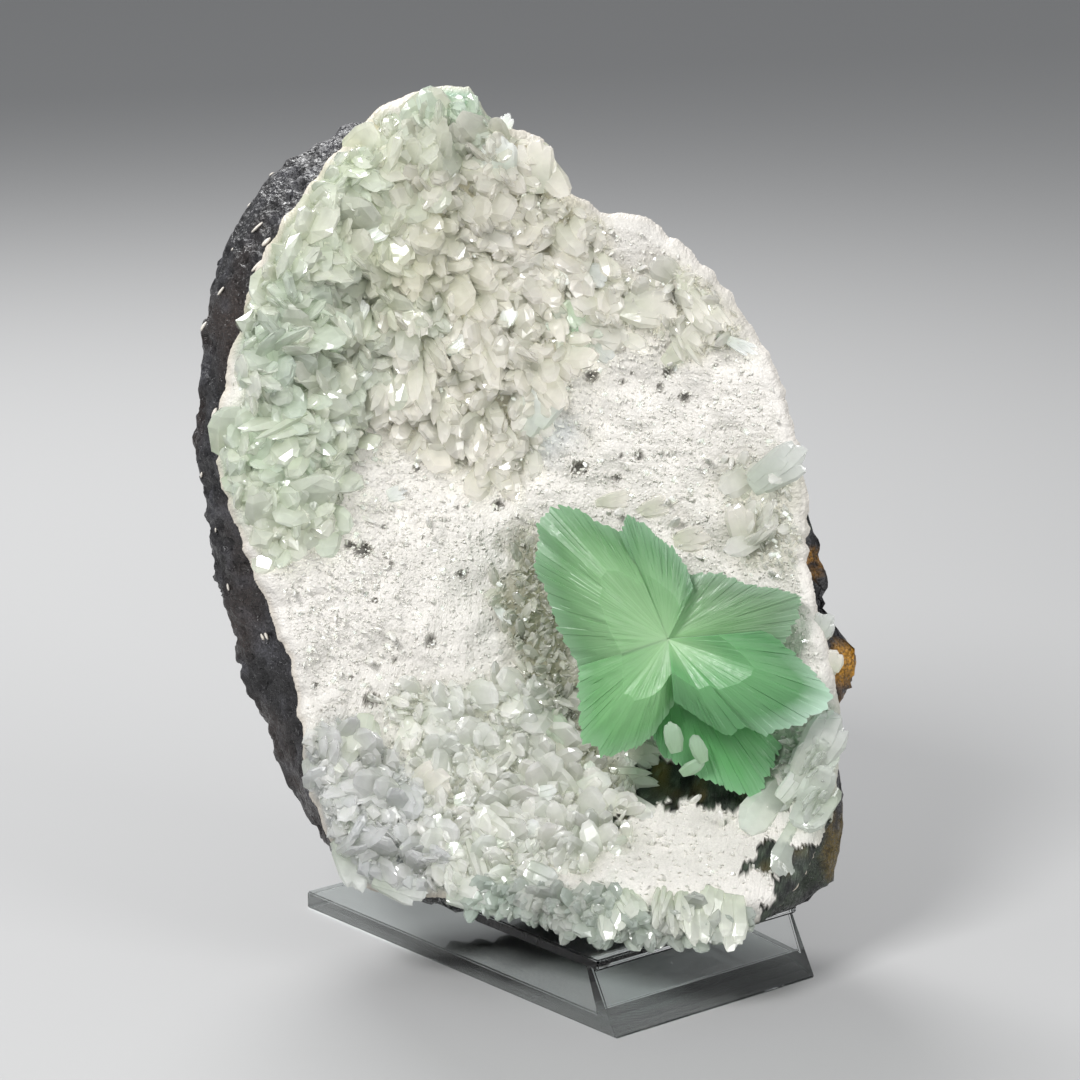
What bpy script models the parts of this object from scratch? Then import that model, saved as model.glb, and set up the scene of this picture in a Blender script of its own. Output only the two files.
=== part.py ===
"""Green apophyllite rosette in a crystal-lined basalt hollow, propped on a clear acrylic stand.

The specimen is modelled facing its viewer: x runs to the right across its face, y up the face
and z out of it. An empty then leans it back over the stand, and the finished object stands on
z = 0 with its face towards -Y. Sizes in the tables are millimetres.
"""

import math
import random

import bmesh
import bpy
import numpy as np
from mathutils import Matrix, Vector, noise

MM = 0.001
GAP = 0.3
NEEDLE = 0.002

# Clear acrylic stand, measured along its long edge (x) and its short edge (y)
STAND_LENGTH = 87.0
STAND_WIDTH = 46.3
BASE_THICKNESS = 3.2
SHELF_TOP = 12.65
SHELF_THICKNESS = 1.95
SHELF_LENGTH = 33.0
SHELF_SETBACK = 5.0
WALL_LEAN = 0.571
WALL_FOOT = 5.3
WALL_HEAD = 8.1
STAND_TURN = -50.0

# Room cut out of the rock over the shelf, and how far the cutters run past the rock
SEAT_MARGIN = 0.6
SEAT_OVERRUN = 30.0

# How the specimen stands over the stand's near corner, and how far it leans back
SPECIMEN_AT = (-12.9, 46.3, 75.0)
LEAN_BACK = 14.0

# Middle of the face, round which both outlines run
FACE_CENTRE = (-3.0, 3.0)
TREND_WINDOW = 20

# Edge of the crystal crust, clockwise from the top: across, up, and out towards the viewer
CRUST_EDGE = (
    (-17.5, 79, 2), (-11.5, 79, 2), (-10, 73.5, 2), (0.5, 69.5, 2), (4, 61, 3), (10.5, 57, 3),
    (19, 55.5, 3), (26, 50, 3), (36, 38, 3), (43, 22.5, 3), (45.5, 11, 4), (46, -3.5, 5),
    (47.5, -12, 6), (50.5, -21, 6), (51.5, -36.5, 6), (50.5, -47.5, 6), (45, -58.5, 9),
    (38.5, -64.5, 14), (27.5, -67.5, 18), (17, -66.5, 19), (3.5, -65, 17), (-7, -62.5, 13),
    (-19, -61, 9), (-29.5, -60, 6), (-35.5, -53, 4), (-40, -41.5, 4), (-41, -31.5, 4),
    (-43, -21, 5), (-46.5, -10.5, 6), (-52.5, 3.5, 7), (-55, 11.5, 7), (-55, 24, 7),
    (-52, 34, 7), (-48, 47, 6), (-41.5, 58, 5), (-34, 68, 4), (-28.5, 74.5, 3),
)
CRUST_THICKNESS = 5.0

# Widest line of the basalt lump, clockwise from the top
BASALT_EDGE = (
    (-29, 74.5, -8), (-19.5, 76.5, -6), (-12.5, 75.5, -6), (0, 67, -6), (4, 58.5, -6),
    (17.5, 53, -6), (28, 45, -6), (38, 30.5, -6), (43, 17.5, -6), (47, 7, -4), (48.5, -3.5, -2),
    (49.5, -12, 0), (55.5, -19.5, 0), (55.5, -25, 0), (52, -29, -2), (52.5, -38.5, -4),
    (53.5, -51, -4), (52, -60, -4), (45.5, -65, 0), (35, -66, 4), (24.5, -66, 6), (10.5, -64.5, 4),
    (-3.5, -62.5, 2), (-17.5, -60.5, -2), (-30, -59, -6), (-37, -55, -8), (-42.5, -44.5, -8),
    (-49, -30.5, -8), (-53, -19.5, -8), (-57.5, -5.5, -8), (-60, 9, -8), (-60.5, 25, -8),
    (-60, 33.5, -8), (-58, 46, -8), (-53, 56.5, -8), (-48, 64.5, -8), (-42.5, 69, -8),
    (-33.5, 74, -8),
)
BASALT_DEPTH = 28.0

# Swells and hollows of the lining: across, up, half width, half height, turn, rise
BOWL_FLOOR = -6.0
BOWL_STEEPNESS = 2.3
SWELLS = (
    (-44, 30, 10, 36, 8, 8),
    (-24, 58, 20, 15, 20, 8),
    (-12, 32, 22, 11, -20, 5),
    (-31, -46, 10, 18, 20, 7),
    (20, -61, 30, 8, 4, 7),
    (-22, -12, 18, 18, 0, 3),
    (16, -38, 19, 12, 0, -9),
    (47, -38, 6, 14, 0, 4),
)

# Banks of large crystals: across, up, half width, half height, how many, length, width,
# thickness, and the way they mostly point across and up the face
CRYSTAL_BANKS = (
    (-20, 66, 15, 10, 11, 10, 7, 3.2, -0.2, 0.8),
    (-40, 46, 10, 16, 12, 10, 8, 3.4, -0.7, 0.4),
    (-42, 20, 10, 16, 10, 10, 8, 3.2, -0.7, -0.1),
    (-14, 38, 18, 14, 12, 11, 6, 3.0, 0.1, -0.8),
    (22, 40, 14, 8, 5, 8, 5, 2.4, 0.2, -0.4),
    (40, 4, 5, 8, 3, 9, 6, 2.6, 0.6, 0.4),
    (-34, -44, 7, 14, 9, 10, 7, 3.4, -0.6, -0.3),
    (-10, -52, 17, 9, 12, 9, 6, 2.8, 0.1, -0.3),
    (16, -64, 26, 3, 10, 9, 6, 3.0, 0.1, -0.9),
    (48, -36, 3, 14, 5, 9, 7, 3.0, 0.7, 0.3),
)
CRYSTAL_SEED = 11
CRYSTAL_SIZES = (0.75, 1.25)
CRYSTAL_SPLAY = 0.5
CRYSTAL_RISE = (0.55, 1.0)
CRYSTAL_LIMIT = 0.95
CRYSTAL_TIP_LIMIT = 0.98
CRYSTAL_TURNED_IN = -0.4
LEDGE_LINE = -56.0
CRYSTAL_ROOT = 2.2
ROOT_CLEARANCE = 1.2

# One bladed crystal: its foot's share of its width, where its chisel end starts and how wide
# the chisel's edge is
CRYSTAL_FOOT = 0.7
CRYSTAL_SHOULDER = 0.62
CHISEL_HALF_WIDTH = 0.22
CHISEL_DROP = 0.96

# Green fans that spread from one point: the outer edge of each, its height out of the face
# at the point, halfway and at the edge, and its thickness at the point and at the edge
ROSETTE_POINT = (22.0, -17.0)
FANS = {
    "upper_left": (((6.5, -22.5), (2, -14), (-1.5, -4), (-0.5, 0.5), (-1, 3.5), (1, 6.5),
                    (6, 6), (10, 3.5), (14, 2)), (11, 13, 9), (8, 3.0)),
    "upper": (((13.5, 1.5), (15, 5), (18, 3), (23, -1), (25.5, -4.5), (26.5, -8)), (11, 12, 11), (8, 3.0)),
    "upper_right": (((25.5, -5.5), (32, -5.5), (36, -7.5), (41.5, -8), (46, -9.5), (45.5, -12),
                     (43, -18)), (10, 9, 9), (8, 2.5)),
    "right": (((39, -15.5), (43, -18.5), (47.5, -22.5), (51, -26.5), (50, -29), (45.5, -32),
               (39, -34), (36, -32.5), (32, -34), (29, -32), (23, -28)), (11, 15, 13), (9, 4.0)),
    "lower_left": (((23.5, -28), (19.5, -34), (16, -36.5), (10.5, -38), (9, -36), (7, -35.5),
                    (6.5, -31), (6, -22)), (11, 13, 10), (8, 3.0)),
    "lowest": (((19, -33), (21, -38), (27.5, -41.5), (32, -43.5), (38, -46), (40, -42.5),
                (42.5, -36)), (8, 5, 4), (7, 2.5)),
}
FAN_SHARES = (0.0, 0.35, 0.7, 1.0)
FAN_START = 0.02
FAN_CROWN = 1.3
FAN_EDGE_CROWN = 0.6
FAN_CROWN_CURVE = 2.2
ROSETTE_ROOM = 1.1
FOOT_SIDES = 11
FOOT_RADIUS = 11.0
FOOT_DROP = 3.0
FOOT_RINGS = ((1.0, -30.0), (1.0, -2.0), (0.8, 5.0))
FOOT_TOP = 8.0


def new_object(name, vertices, faces, material=None, parent=None):
    """Make one mesh object from points in millimetres."""
    mesh = bpy.data.meshes.new(name)
    mesh.from_pydata([[value * MM for value in point] for point in vertices], [], faces)
    work = bmesh.new()
    work.from_mesh(mesh)
    bmesh.ops.recalc_face_normals(work, faces=work.faces)
    work.to_mesh(mesh)
    work.free()
    piece = bpy.data.objects.new(name, mesh)
    bpy.context.collection.objects.link(piece)
    piece.parent = parent
    if material is not None:
        mesh.materials.append(material)
    return piece


def new_material(name, colour, roughness, transmission=0.0, ior=1.5):
    """Make a Principled material."""
    material = bpy.data.materials.new(name)
    material.use_nodes = True
    shader = material.node_tree.nodes["Principled BSDF"]
    shader.inputs["Base Color"].default_value = (*colour, 1.0)
    shader.inputs["Roughness"].default_value = roughness
    shader.inputs["Metallic"].default_value = 0.0
    shader.inputs["Transmission Weight"].default_value = transmission
    shader.inputs["IOR"].default_value = ior
    return material


def as_guide(piece):
    """Mark an object as a cutter or an adder that is no part of the model."""
    piece.hide_render = True
    piece.display_type = "WIRE"
    return piece


def combine(piece, other, operation):
    """Add or cut a guide, and keep the outer skin of the result as the object's mesh."""
    step = piece.modifiers.new(operation.title(), "BOOLEAN")
    step.object = other
    step.operation = operation
    step.solver = "EXACT"
    step.use_self = operation == "UNION"
    bpy.context.view_layer.update()
    graph = bpy.context.evaluated_depsgraph_get()
    result = bpy.data.meshes.new_from_object(piece.evaluated_get(graph))
    piece.modifiers.remove(step)
    keep_outer_skin(result)
    piece.data = result


def keep_outer_skin(mesh):
    """Drop the closed pockets that crossing crystals leave inside, and merge needle-thin edges."""
    work = bmesh.new()
    work.from_mesh(mesh)
    bmesh.ops.triangulate(work, faces=work.faces)
    bmesh.ops.dissolve_degenerate(work, edges=work.edges, dist=NEEDLE * MM)
    unseen = set(work.faces)
    skins = []
    while unseen:
        front = [unseen.pop()]
        skin = list(front)
        while front:
            face = front.pop()
            for edge in face.edges:
                for other in edge.link_faces:
                    if other in unseen:
                        unseen.remove(other)
                        front.append(other)
                        skin.append(other)
        skins.append(skin)
    skins.sort(key=len)
    inner = [face for skin in skins[:-1] for face in skin]
    bmesh.ops.delete(work, geom=inner, context="FACES")
    work.to_mesh(mesh)
    work.free()


# Shape of the hollow

def edge_lookup(edge, window=0):
    """Return a closed edge's radius and height at any angle, averaged over a window of degrees."""
    angles = [math.atan2(y - FACE_CENTRE[1], x - FACE_CENTRE[0]) for x, y, z in edge]
    radii = [math.hypot(x - FACE_CENTRE[0], y - FACE_CENTRE[1]) for x, y, z in edge]
    heights = [z for x, y, z in edge]
    degrees = np.arange(360)
    radius_table = np.interp(np.radians(degrees), angles, radii, period=math.tau)
    height_table = np.interp(np.radians(degrees), angles, heights, period=math.tau)
    shifts = range(-window, window + 1)
    radius_table = np.mean([np.roll(radius_table, shift) for shift in shifts], axis=0)
    height_table = np.mean([np.roll(height_table, shift) for shift in shifts], axis=0)

    def at(angle):
        place = math.degrees(angle) % 360.0
        radius = np.interp(place, degrees, radius_table, period=360.0)
        height = np.interp(place, degrees, height_table, period=360.0)
        return float(radius), float(height)

    return at


crust_edge_at = edge_lookup(CRUST_EDGE)
crust_trend_at = edge_lookup(CRUST_EDGE, TREND_WINDOW)
basalt_edge_at = edge_lookup(BASALT_EDGE)
basalt_trend_at = edge_lookup(BASALT_EDGE, TREND_WINDOW)


def relief(x, y):
    """Height of the lining above the face plane."""
    across = x - FACE_CENTRE[0]
    upward = y - FACE_CENTRE[1]
    angle = math.atan2(upward, across)
    radius, rim_height = crust_edge_at(angle)
    trend, trend_height = crust_trend_at(angle)
    share = min(math.hypot(across, upward) / radius, 1.0)
    radius = trend + (radius - trend) * share
    rim_height = trend_height + (rim_height - trend_height) * share
    rise = min(math.hypot(across, upward) / radius, 1.0) ** BOWL_STEEPNESS
    height = BOWL_FLOOR * (1.0 - rise) + rim_height * rise
    for x0, y0, half_width, half_height, turn, swell in SWELLS:
        c = math.cos(math.radians(turn))
        s = math.sin(math.radians(turn))
        along = ((x - x0) * c + (y - y0) * s) / half_width
        over = ((y - y0) * c - (x - x0) * s) / half_height
        height += swell * math.exp(-along * along - over * over)
    return height


def lining_point(angle, share, lift):
    """Point of the lining at an angle and a share of the way out to the crust's edge."""
    radius, _ = crust_edge_at(angle)
    x = FACE_CENTRE[0] + share * radius * math.cos(angle)
    y = FACE_CENTRE[1] + share * radius * math.sin(angle)
    return (x, y, relief(x, y) + lift)


def ringed_body(rings, front_middle, back_middle):
    """Close a stack of equal rings, from the front's middle out and round to the back's."""
    count = len(rings[0])
    vertices = [front_middle] + [point for ring in rings for point in ring] + [back_middle]
    faces = []
    for i in range(count):
        j = (i + 1) % count
        faces.append((0, 1 + i, 1 + j))
        last = 1 + (len(rings) - 1) * count
        faces.append((len(vertices) - 1, last + j, last + i))
        for row in range(len(rings) - 1):
            a = 1 + row * count
            b = a + count
            faces.append((a + i, b + i, b + j))
            faces.append((a + i, b + j, a + j))
    return vertices, faces


def turns(count):
    """Evenly spaced angles round the face."""
    return [math.tau * step / count for step in range(count)]


# Basalt matrix

FACE_SIDES = 60
UNDER_SHARES = (0.2, 0.4, 0.6, 0.78, 0.92, 1.0)
RIM_SHARES = (0.35, 0.7, 1.0)
RIM_BULGE = 1.6
RIM_ROUGHNESS = 0.35
RIM_DROP = 2.0
BACK_SHARES = (0.97, 0.91, 0.83, 0.73, 0.61, 0.48, 0.33, 0.17)
BACK_POWER = 2.3
BACK_MIDDLE = -4.0
BACK_TREND = 0.8
LUMP_SIZE = 15.0
LUMP_HEIGHT = 3.2
BLISTER_SIZE = 5.0
BLISTER_HEIGHT = 2.6
BLISTER_SHIFT = (7.0, 3.0, 5.0)
FRACTURE_FLATNESS = 0.85
FRACTURES = (
    ((-0.55, 0.15, -0.82), 46.0),
    ((0.5, 0.25, -0.83), 41.0),
    ((0.1, 0.75, -0.65), 60.0),
    ((-0.35, -0.5, -0.79), 52.0),
    ((0.45, -0.6, -0.66), 60.0),
    ((-0.85, 0.35, -0.39), 56.0),
)

# Heel that the rock stands on: its direction and spread in degrees round the face, how far it
# runs down and back, and the share of the way out at which it is longest
HEEL_ANGLE = -94.0
HEEL_SPREAD = 27.0
HEEL_DOWN = 16.0
HEEL_BACK = 10.0
HEEL_POWER = 3.2
HEEL_SHARE = 0.86
HEEL_WIDTH = 0.12


def heel(angle):
    """Share of the heel that the rock stands on, by the angle round its face."""
    away = (math.degrees(angle) - HEEL_ANGLE + 180.0) % 360.0 - 180.0
    return math.exp(-(away / HEEL_SPREAD) ** 2)


def break_flat(point):
    """Push a point of the back in to the flat faces where the rock broke."""
    for direction, reach in FRACTURES:
        length = math.sqrt(sum(value * value for value in direction))
        over = sum(a * b for a, b in zip(point, direction)) / length - reach
        if over > 0.0:
            point = tuple(a - FRACTURE_FLATNESS * over * b / length for a, b in zip(point, direction))
    return point


def roughened(point, amount):
    """Move a point of the broken rock by its lumps and burst gas blisters."""
    lump = noise.noise(Vector(point) / LUMP_SIZE) * LUMP_HEIGHT
    blister = abs(noise.noise(Vector(point) / BLISTER_SIZE + Vector(BLISTER_SHIFT))) * BLISTER_HEIGHT
    outward = Vector((point[0] - FACE_CENTRE[0], point[1] - FACE_CENTRE[1], point[2] - BACK_MIDDLE))
    moved = Vector(point) + outward.normalized() * (lump - blister) * amount
    return tuple(moved)


def rim_point(angle, share, under):
    """Point of the rock's rim, from the lining's edge out to the rock's widest line."""
    inner = lining_point(angle, 1.0, under)
    radius, height = basalt_edge_at(angle)
    x = FACE_CENTRE[0] + radius * math.cos(angle)
    y = FACE_CENTRE[1] + radius * math.sin(angle)
    bulge = 1.0 - (1.0 - share) ** RIM_BULGE
    point = (inner[0] + (x - inner[0]) * bulge, inner[1] + (y - inner[1]) * bulge,
             inner[2] + (min(height, inner[2] - RIM_DROP) - inner[2]) * share)
    return roughened(point, RIM_ROUGHNESS * share)


def back_point(angle, share):
    """Point of the rock's back, from its widest line in to the middle, with the heel."""
    radius, height = basalt_edge_at(angle)
    trend, trend_height = basalt_trend_at(angle)
    blend = min(share / BACK_TREND, 1.0) ** 2
    radius = trend + (radius - trend) * blend
    height = trend_height + (height - trend_height) * blend
    part = heel(angle) * min(share / BACK_TREND, 1.0)
    power = BACK_POWER + HEEL_POWER * part
    depth = (BASALT_DEPTH + HEEL_BACK * part) * (1.0 - share ** power) ** (1.0 / power)
    reach = share * radius + HEEL_DOWN * part * math.exp(-((share - HEEL_SHARE) / HEEL_WIDTH) ** 2)
    point = (FACE_CENTRE[0] + reach * math.cos(angle), FACE_CENTRE[1] + reach * math.sin(angle),
             BACK_MIDDLE + (height - BACK_MIDDLE) * share - depth)
    return roughened(break_flat(point), 1.0)


def make_basalt(material, parent):
    """Broken lump of basalt: a bowl in front, a rough rim and a broken dome behind."""
    under = -CRUST_THICKNESS - 2.0 * GAP
    angles = turns(FACE_SIDES)
    rings = [[lining_point(angle, share, under) for angle in angles] for share in UNDER_SHARES]
    rings += [[rim_point(angle, share, under) for angle in angles] for share in RIM_SHARES]
    rings += [[back_point(angle, share) for angle in angles] for share in BACK_SHARES]
    middle_x, middle_y = FACE_CENTRE
    front = (middle_x, middle_y, relief(middle_x, middle_y) + under)
    back = roughened(break_flat((middle_x, middle_y, BACK_MIDDLE - BASALT_DEPTH)), 1.0)
    vertices, faces = ringed_body(rings, front, back)
    return new_object("basalt_matrix", vertices, faces, material, parent)


# Crystal crust

CRUST_TOP_SHARES = (0.15, 0.31, 0.47, 0.62, 0.75, 0.86, 0.94)
CRUST_ROLL = ((0.99, 1.0), (1.0, 2.6))
DRUSE_SIZE = 6.0
DRUSE_HEIGHT = 1.2
GUIDE_DEPTH = -60.0


def druse_rings(lift):
    """Rings of the lining's knobbly upper face, out to its rolled edge."""
    rings = []
    for share in CRUST_TOP_SHARES:
        ring = []
        for angle in turns(FACE_SIDES):
            x, y, z = lining_point(angle, share, lift)
            bump = noise.noise(Vector((x, y, 0.0)) / DRUSE_SIZE) * DRUSE_HEIGHT
            ring.append((x, y, z + bump))
        rings.append(ring)
    share, drop = CRUST_ROLL[0]
    rings.append([lining_point(angle, share, lift - drop) for angle in turns(FACE_SIDES)])
    return rings


def make_crust_body(material, parent):
    """The lining itself: druse above, and an even underside on the rock."""
    rings = druse_rings(0.0)
    share, drop = CRUST_ROLL[1]
    rings.append([lining_point(angle, share, -drop) for angle in turns(FACE_SIDES)])
    for share in reversed(UNDER_SHARES):
        rings.append([lining_point(angle, share, -CRUST_THICKNESS) for angle in turns(FACE_SIDES)])
    middle_x, middle_y = FACE_CENTRE
    height = relief(middle_x, middle_y)
    vertices, faces = ringed_body(rings, (middle_x, middle_y, height),
                                  (middle_x, middle_y, height - CRUST_THICKNESS))
    return new_object("druse_crust", vertices, faces, material, parent)


def make_ground_guide(name, rings, lift, parent):
    """Everything under a face of the lining, as a cutter for what grows over it."""
    deep = [(x, y, GUIDE_DEPTH) for x, y, z in rings[-1]]
    middle_x, middle_y = FACE_CENTRE
    front = (middle_x, middle_y, relief(middle_x, middle_y) + lift)
    vertices, faces = ringed_body(rings + [deep], front, (middle_x, middle_y, GUIDE_DEPTH))
    return as_guide(new_object(name, vertices, faces, None, parent))


def make_crust(material, parent):
    """The lining with its large crystals, whose roots stop short of the rock."""
    crust = make_crust_body(material, parent)
    combine(crust, make_crystals(parent), "UNION")
    lift = -CRUST_THICKNESS - 0.7 * GAP
    rings = [[lining_point(angle, share, lift) for angle in turns(FACE_SIDES)] for share in UNDER_SHARES]
    combine(crust, make_ground_guide("rock_guide", rings, lift, parent), "DIFFERENCE")
    return crust


def crystal(root, axis, roll, length, width, thickness):
    """Points and faces of one bladed crystal with a chisel end."""
    axis = Vector(axis).normalized()
    side = axis.orthogonal().normalized()
    side.rotate(Matrix.Rotation(roll, 3, axis))
    flat = axis.cross(side)
    vertices = []
    for reach, wide in ((0.0, CRYSTAL_FOOT), (CRYSTAL_SHOULDER, 1.0)):
        for across, over in ((-0.5, -0.5), (0.5, -0.5), (0.5, 0.5), (-0.5, 0.5)):
            vertices.append(Vector(root) + axis * (length * reach) + side * (width * wide * across)
                            + flat * (thickness * over))
    vertices.append(Vector(root) + axis * length - side * width * CHISEL_HALF_WIDTH)
    vertices.append(Vector(root) + axis * length * CHISEL_DROP + side * width * CHISEL_HALF_WIDTH)
    faces = [(3, 2, 1, 0), (0, 1, 5, 4), (1, 2, 6, 5), (2, 3, 7, 6), (3, 0, 4, 7),
             (4, 5, 9, 8), (6, 7, 8, 9), (5, 6, 9), (7, 4, 8)]
    return vertices, faces


def in_rosette(x, y):
    """Whether a place lies under the green fans or close beside them."""
    px = ROSETTE_POINT[0] + (x - ROSETTE_POINT[0]) / ROSETTE_ROOM
    py = ROSETTE_POINT[1] + (y - ROSETTE_POINT[1]) / ROSETTE_ROOM
    for edge, _, _ in FANS.values():
        corners = (ROSETTE_POINT,) + edge
        inside = False
        for (x0, y0), (x1, y1) in zip(corners, corners[1:] + corners[:1]):
            if (y0 > py) != (y1 > py) and px < (x1 - x0) * (py - y0) / (y1 - y0) + x0:
                inside = not inside
        if inside:
            return True
    return False


def edge_share(x, y):
    """How far a place lies out to the crust's edge: 0 in the middle, 1 on the edge."""
    radius, _ = crust_edge_at(math.atan2(y - FACE_CENTRE[1], x - FACE_CENTRE[0]))
    return math.hypot(x - FACE_CENTRE[0], y - FACE_CENTRE[1]) / radius


def tip_place(x, y, axis, length):
    """Where a crystal's tip lies over the face."""
    reach = length / math.sqrt(sum(value * value for value in axis))
    return x + axis[0] * reach, y + axis[1] * reach


def bank_crystals():
    """Roots, directions and sizes of the large crystals. Those that would pass the crust's edge lean in."""
    draw = random.Random(CRYSTAL_SEED)
    for x0, y0, half_width, half_height, count, length, width, thickness, lean_x, lean_y in CRYSTAL_BANKS:
        made = 0
        for _ in range(20 * count):
            if made == count:
                break
            angle = draw.uniform(0.0, math.tau)
            away = math.sqrt(draw.uniform(0.0, 1.0))
            x = x0 + half_width * away * math.cos(angle)
            y = y0 + half_height * away * math.sin(angle)
            size = draw.uniform(*CRYSTAL_SIZES)
            axis = (lean_x + draw.uniform(-CRYSTAL_SPLAY, CRYSTAL_SPLAY),
                    lean_y + draw.uniform(-CRYSTAL_SPLAY, CRYSTAL_SPLAY),
                    draw.uniform(*CRYSTAL_RISE))
            roll = draw.uniform(0.0, math.pi)
            if y > LEDGE_LINE and edge_share(*tip_place(x, y, axis, length * size)) > CRYSTAL_TIP_LIMIT:
                axis = (axis[0] * CRYSTAL_TURNED_IN, axis[1] * CRYSTAL_TURNED_IN, axis[2])
            tip = tip_place(x, y, axis, length * size)
            if edge_share(x, y) > CRYSTAL_LIMIT or in_rosette(x, y) or in_rosette(*tip):
                continue
            made += 1
            yield (x, y, relief(x, y)), axis, roll, length * size, width * size, thickness * size


def make_crystals(parent):
    """All the large crystals, as one guide that is joined to the crust."""
    vertices = []
    faces = []
    for root, axis, roll, length, width, thickness in bank_crystals():
        start = Vector(root) - Vector(axis).normalized() * CRYSTAL_ROOT
        points, sides = crystal(start, axis, roll, length, width, thickness)
        first = len(vertices)
        for point in points:
            lowest = relief(point.x, point.y) - CRUST_THICKNESS + ROOT_CLEARANCE
            vertices.append((point.x, point.y, max(point.z, lowest)))
        faces += [tuple(first + index for index in side) for side in sides]
    return as_guide(new_object("crystal_guide", vertices, faces, None, parent))


# Apophyllite rosette

def fan_height(share, across, heights):
    """Height of a fan's face at a share of the way out and a share of the way across."""
    inner, middle, outer = heights
    if share < 0.5:
        height = inner + (middle - inner) * share / 0.5
    else:
        height = middle + (outer - middle) * (share - 0.5) / 0.5
    crown = 1.0 - FAN_CROWN_CURVE * (2.0 * across - 1.0) ** 2
    return height + crown * share * (FAN_CROWN if share < 1.0 else FAN_EDGE_CROWN)


def fan_body(edge, heights, thicknesses):
    """Points and faces of one fan: a wedge that spreads from the rosette's point to its edge."""
    thick_in, thick_out = thicknesses
    columns = len(edge)
    top = []
    bottom = []
    for share in FAN_SHARES:
        spread = FAN_START + (1.0 - FAN_START) * share
        for index, (x, y) in enumerate(edge):
            px = ROSETTE_POINT[0] + (x - ROSETTE_POINT[0]) * spread
            py = ROSETTE_POINT[1] + (y - ROSETTE_POINT[1]) * spread
            height = fan_height(share, index / (columns - 1), heights)
            thickness = thick_in + (thick_out - thick_in) * share
            top.append((px, py, height))
            bottom.append((px, py, height - thickness))
    vertices = top + bottom
    faces = []
    half = len(top)
    rows = len(FAN_SHARES)
    for row in range(rows - 1):
        for column in range(columns - 1):
            a = row * columns + column
            b = a + columns
            faces.append((a, b, b + 1, a + 1))
            faces.append((half + a, half + a + 1, half + b + 1, half + b))
    for column in range(columns - 1):
        outer_row = (rows - 1) * columns + column
        faces.append((outer_row, half + outer_row, half + outer_row + 1, outer_row + 1))
        faces.append((column, column + 1, half + column + 1, half + column))
    for row in range(rows - 1):
        for column in (0, columns - 1):
            a = row * columns + column
            b = a + columns
            quad = (a, half + a, half + b, b)
            faces.append(quad if column == 0 else quad[::-1])
    return vertices, faces


def make_foot():
    """The stub by which the rosette is rooted in the hollow."""
    middle_x, middle_y = ROSETTE_POINT
    rings = []
    for scale, height in FOOT_RINGS:
        ring = []
        for angle in turns(FOOT_SIDES):
            radius = FOOT_RADIUS * scale * (1.0 + 0.12 * math.sin(3.0 * angle + 1.0))
            ring.append((middle_x + radius * math.cos(angle),
                         middle_y - FOOT_DROP + radius * math.sin(angle), height))
        rings.append(ring)
    return ringed_body(rings, (middle_x, middle_y, FOOT_RINGS[0][1]), (middle_x, middle_y, FOOT_TOP))


def make_rosette(material, parent):
    """The green rosette: its fans joined to the foot, then fitted to the druse below."""
    vertices, faces = make_foot()
    rosette = new_object("apophyllite_rosette", vertices, faces, material, parent)
    for name, (edge, heights, thicknesses) in FANS.items():
        vertices, faces = fan_body(edge, heights, thicknesses)
        fan = as_guide(new_object("fan_" + name, vertices, faces, None, parent))
        combine(rosette, fan, "UNION")
    lift = 1.6 * GAP
    combine(rosette, make_ground_guide("druse_guide", druse_rings(lift), lift, parent), "DIFFERENCE")
    return rosette


# Acrylic stand

def make_stand(material, parent):
    """Base plate, leaning end wall and shelf, as one outline drawn out along the short edge."""
    shelf_under = SHELF_TOP - SHELF_THICKNESS
    outline = (
        (-STAND_LENGTH, 0.0),
        (0.0, 0.0),
        (-WALL_LEAN * shelf_under, shelf_under),
        (-SHELF_SETBACK, shelf_under),
        (-SHELF_SETBACK, SHELF_TOP),
        (-SHELF_SETBACK - SHELF_LENGTH, SHELF_TOP),
        (-SHELF_SETBACK - SHELF_LENGTH, shelf_under),
        (-WALL_HEAD, shelf_under),
        (-WALL_FOOT, BASE_THICKNESS),
        (-STAND_LENGTH, BASE_THICKNESS),
    )
    near = [(x, 0.0, z) for x, z in outline]
    far = [(x, STAND_WIDTH, z) for x, z in outline]
    count = len(outline)
    faces = [tuple(range(count)), tuple(range(2 * count - 1, count - 1, -1))]
    for i in range(count):
        j = (i + 1) % count
        faces.append((i, i + count, j + count, j))
    stand = new_object("acrylic_stand", near + far, faces, material, parent)
    stand.rotation_euler.z = math.radians(STAND_TURN)
    return stand


def make_seat_guide(name, x_range, top, parent):
    """Block that clears the space of the stand, with the gap, out of the rock above it."""
    x0, x1 = x_range
    y0 = -SEAT_OVERRUN
    y1 = STAND_WIDTH + SEAT_OVERRUN
    vertices = [(x, y, z) for z in (-SEAT_OVERRUN, top) for x, y in ((x0, y0), (x1, y0), (x1, y1), (x0, y1))]
    faces = [(3, 2, 1, 0), (4, 5, 6, 7), (0, 1, 5, 4), (1, 2, 6, 5), (2, 3, 7, 6), (3, 0, 4, 7)]
    guide = as_guide(new_object(name, vertices, faces, None, parent))
    guide.rotation_euler.z = math.radians(STAND_TURN)
    return guide


def centre_over_origin(assembly, pieces):
    """Move the whole object so that the middle of its box's underside is the origin."""
    bpy.context.view_layer.update()
    corners = [piece.matrix_world @ vertex.co for piece in pieces for vertex in piece.data.vertices]
    lowest = [min(corner[axis] for corner in corners) for axis in range(3)]
    highest = [max(corner[axis] for corner in corners) for axis in range(3)]
    assembly.location = (-(lowest[0] + highest[0]) / 2, -(lowest[1] + highest[1]) / 2, -lowest[2])


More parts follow.
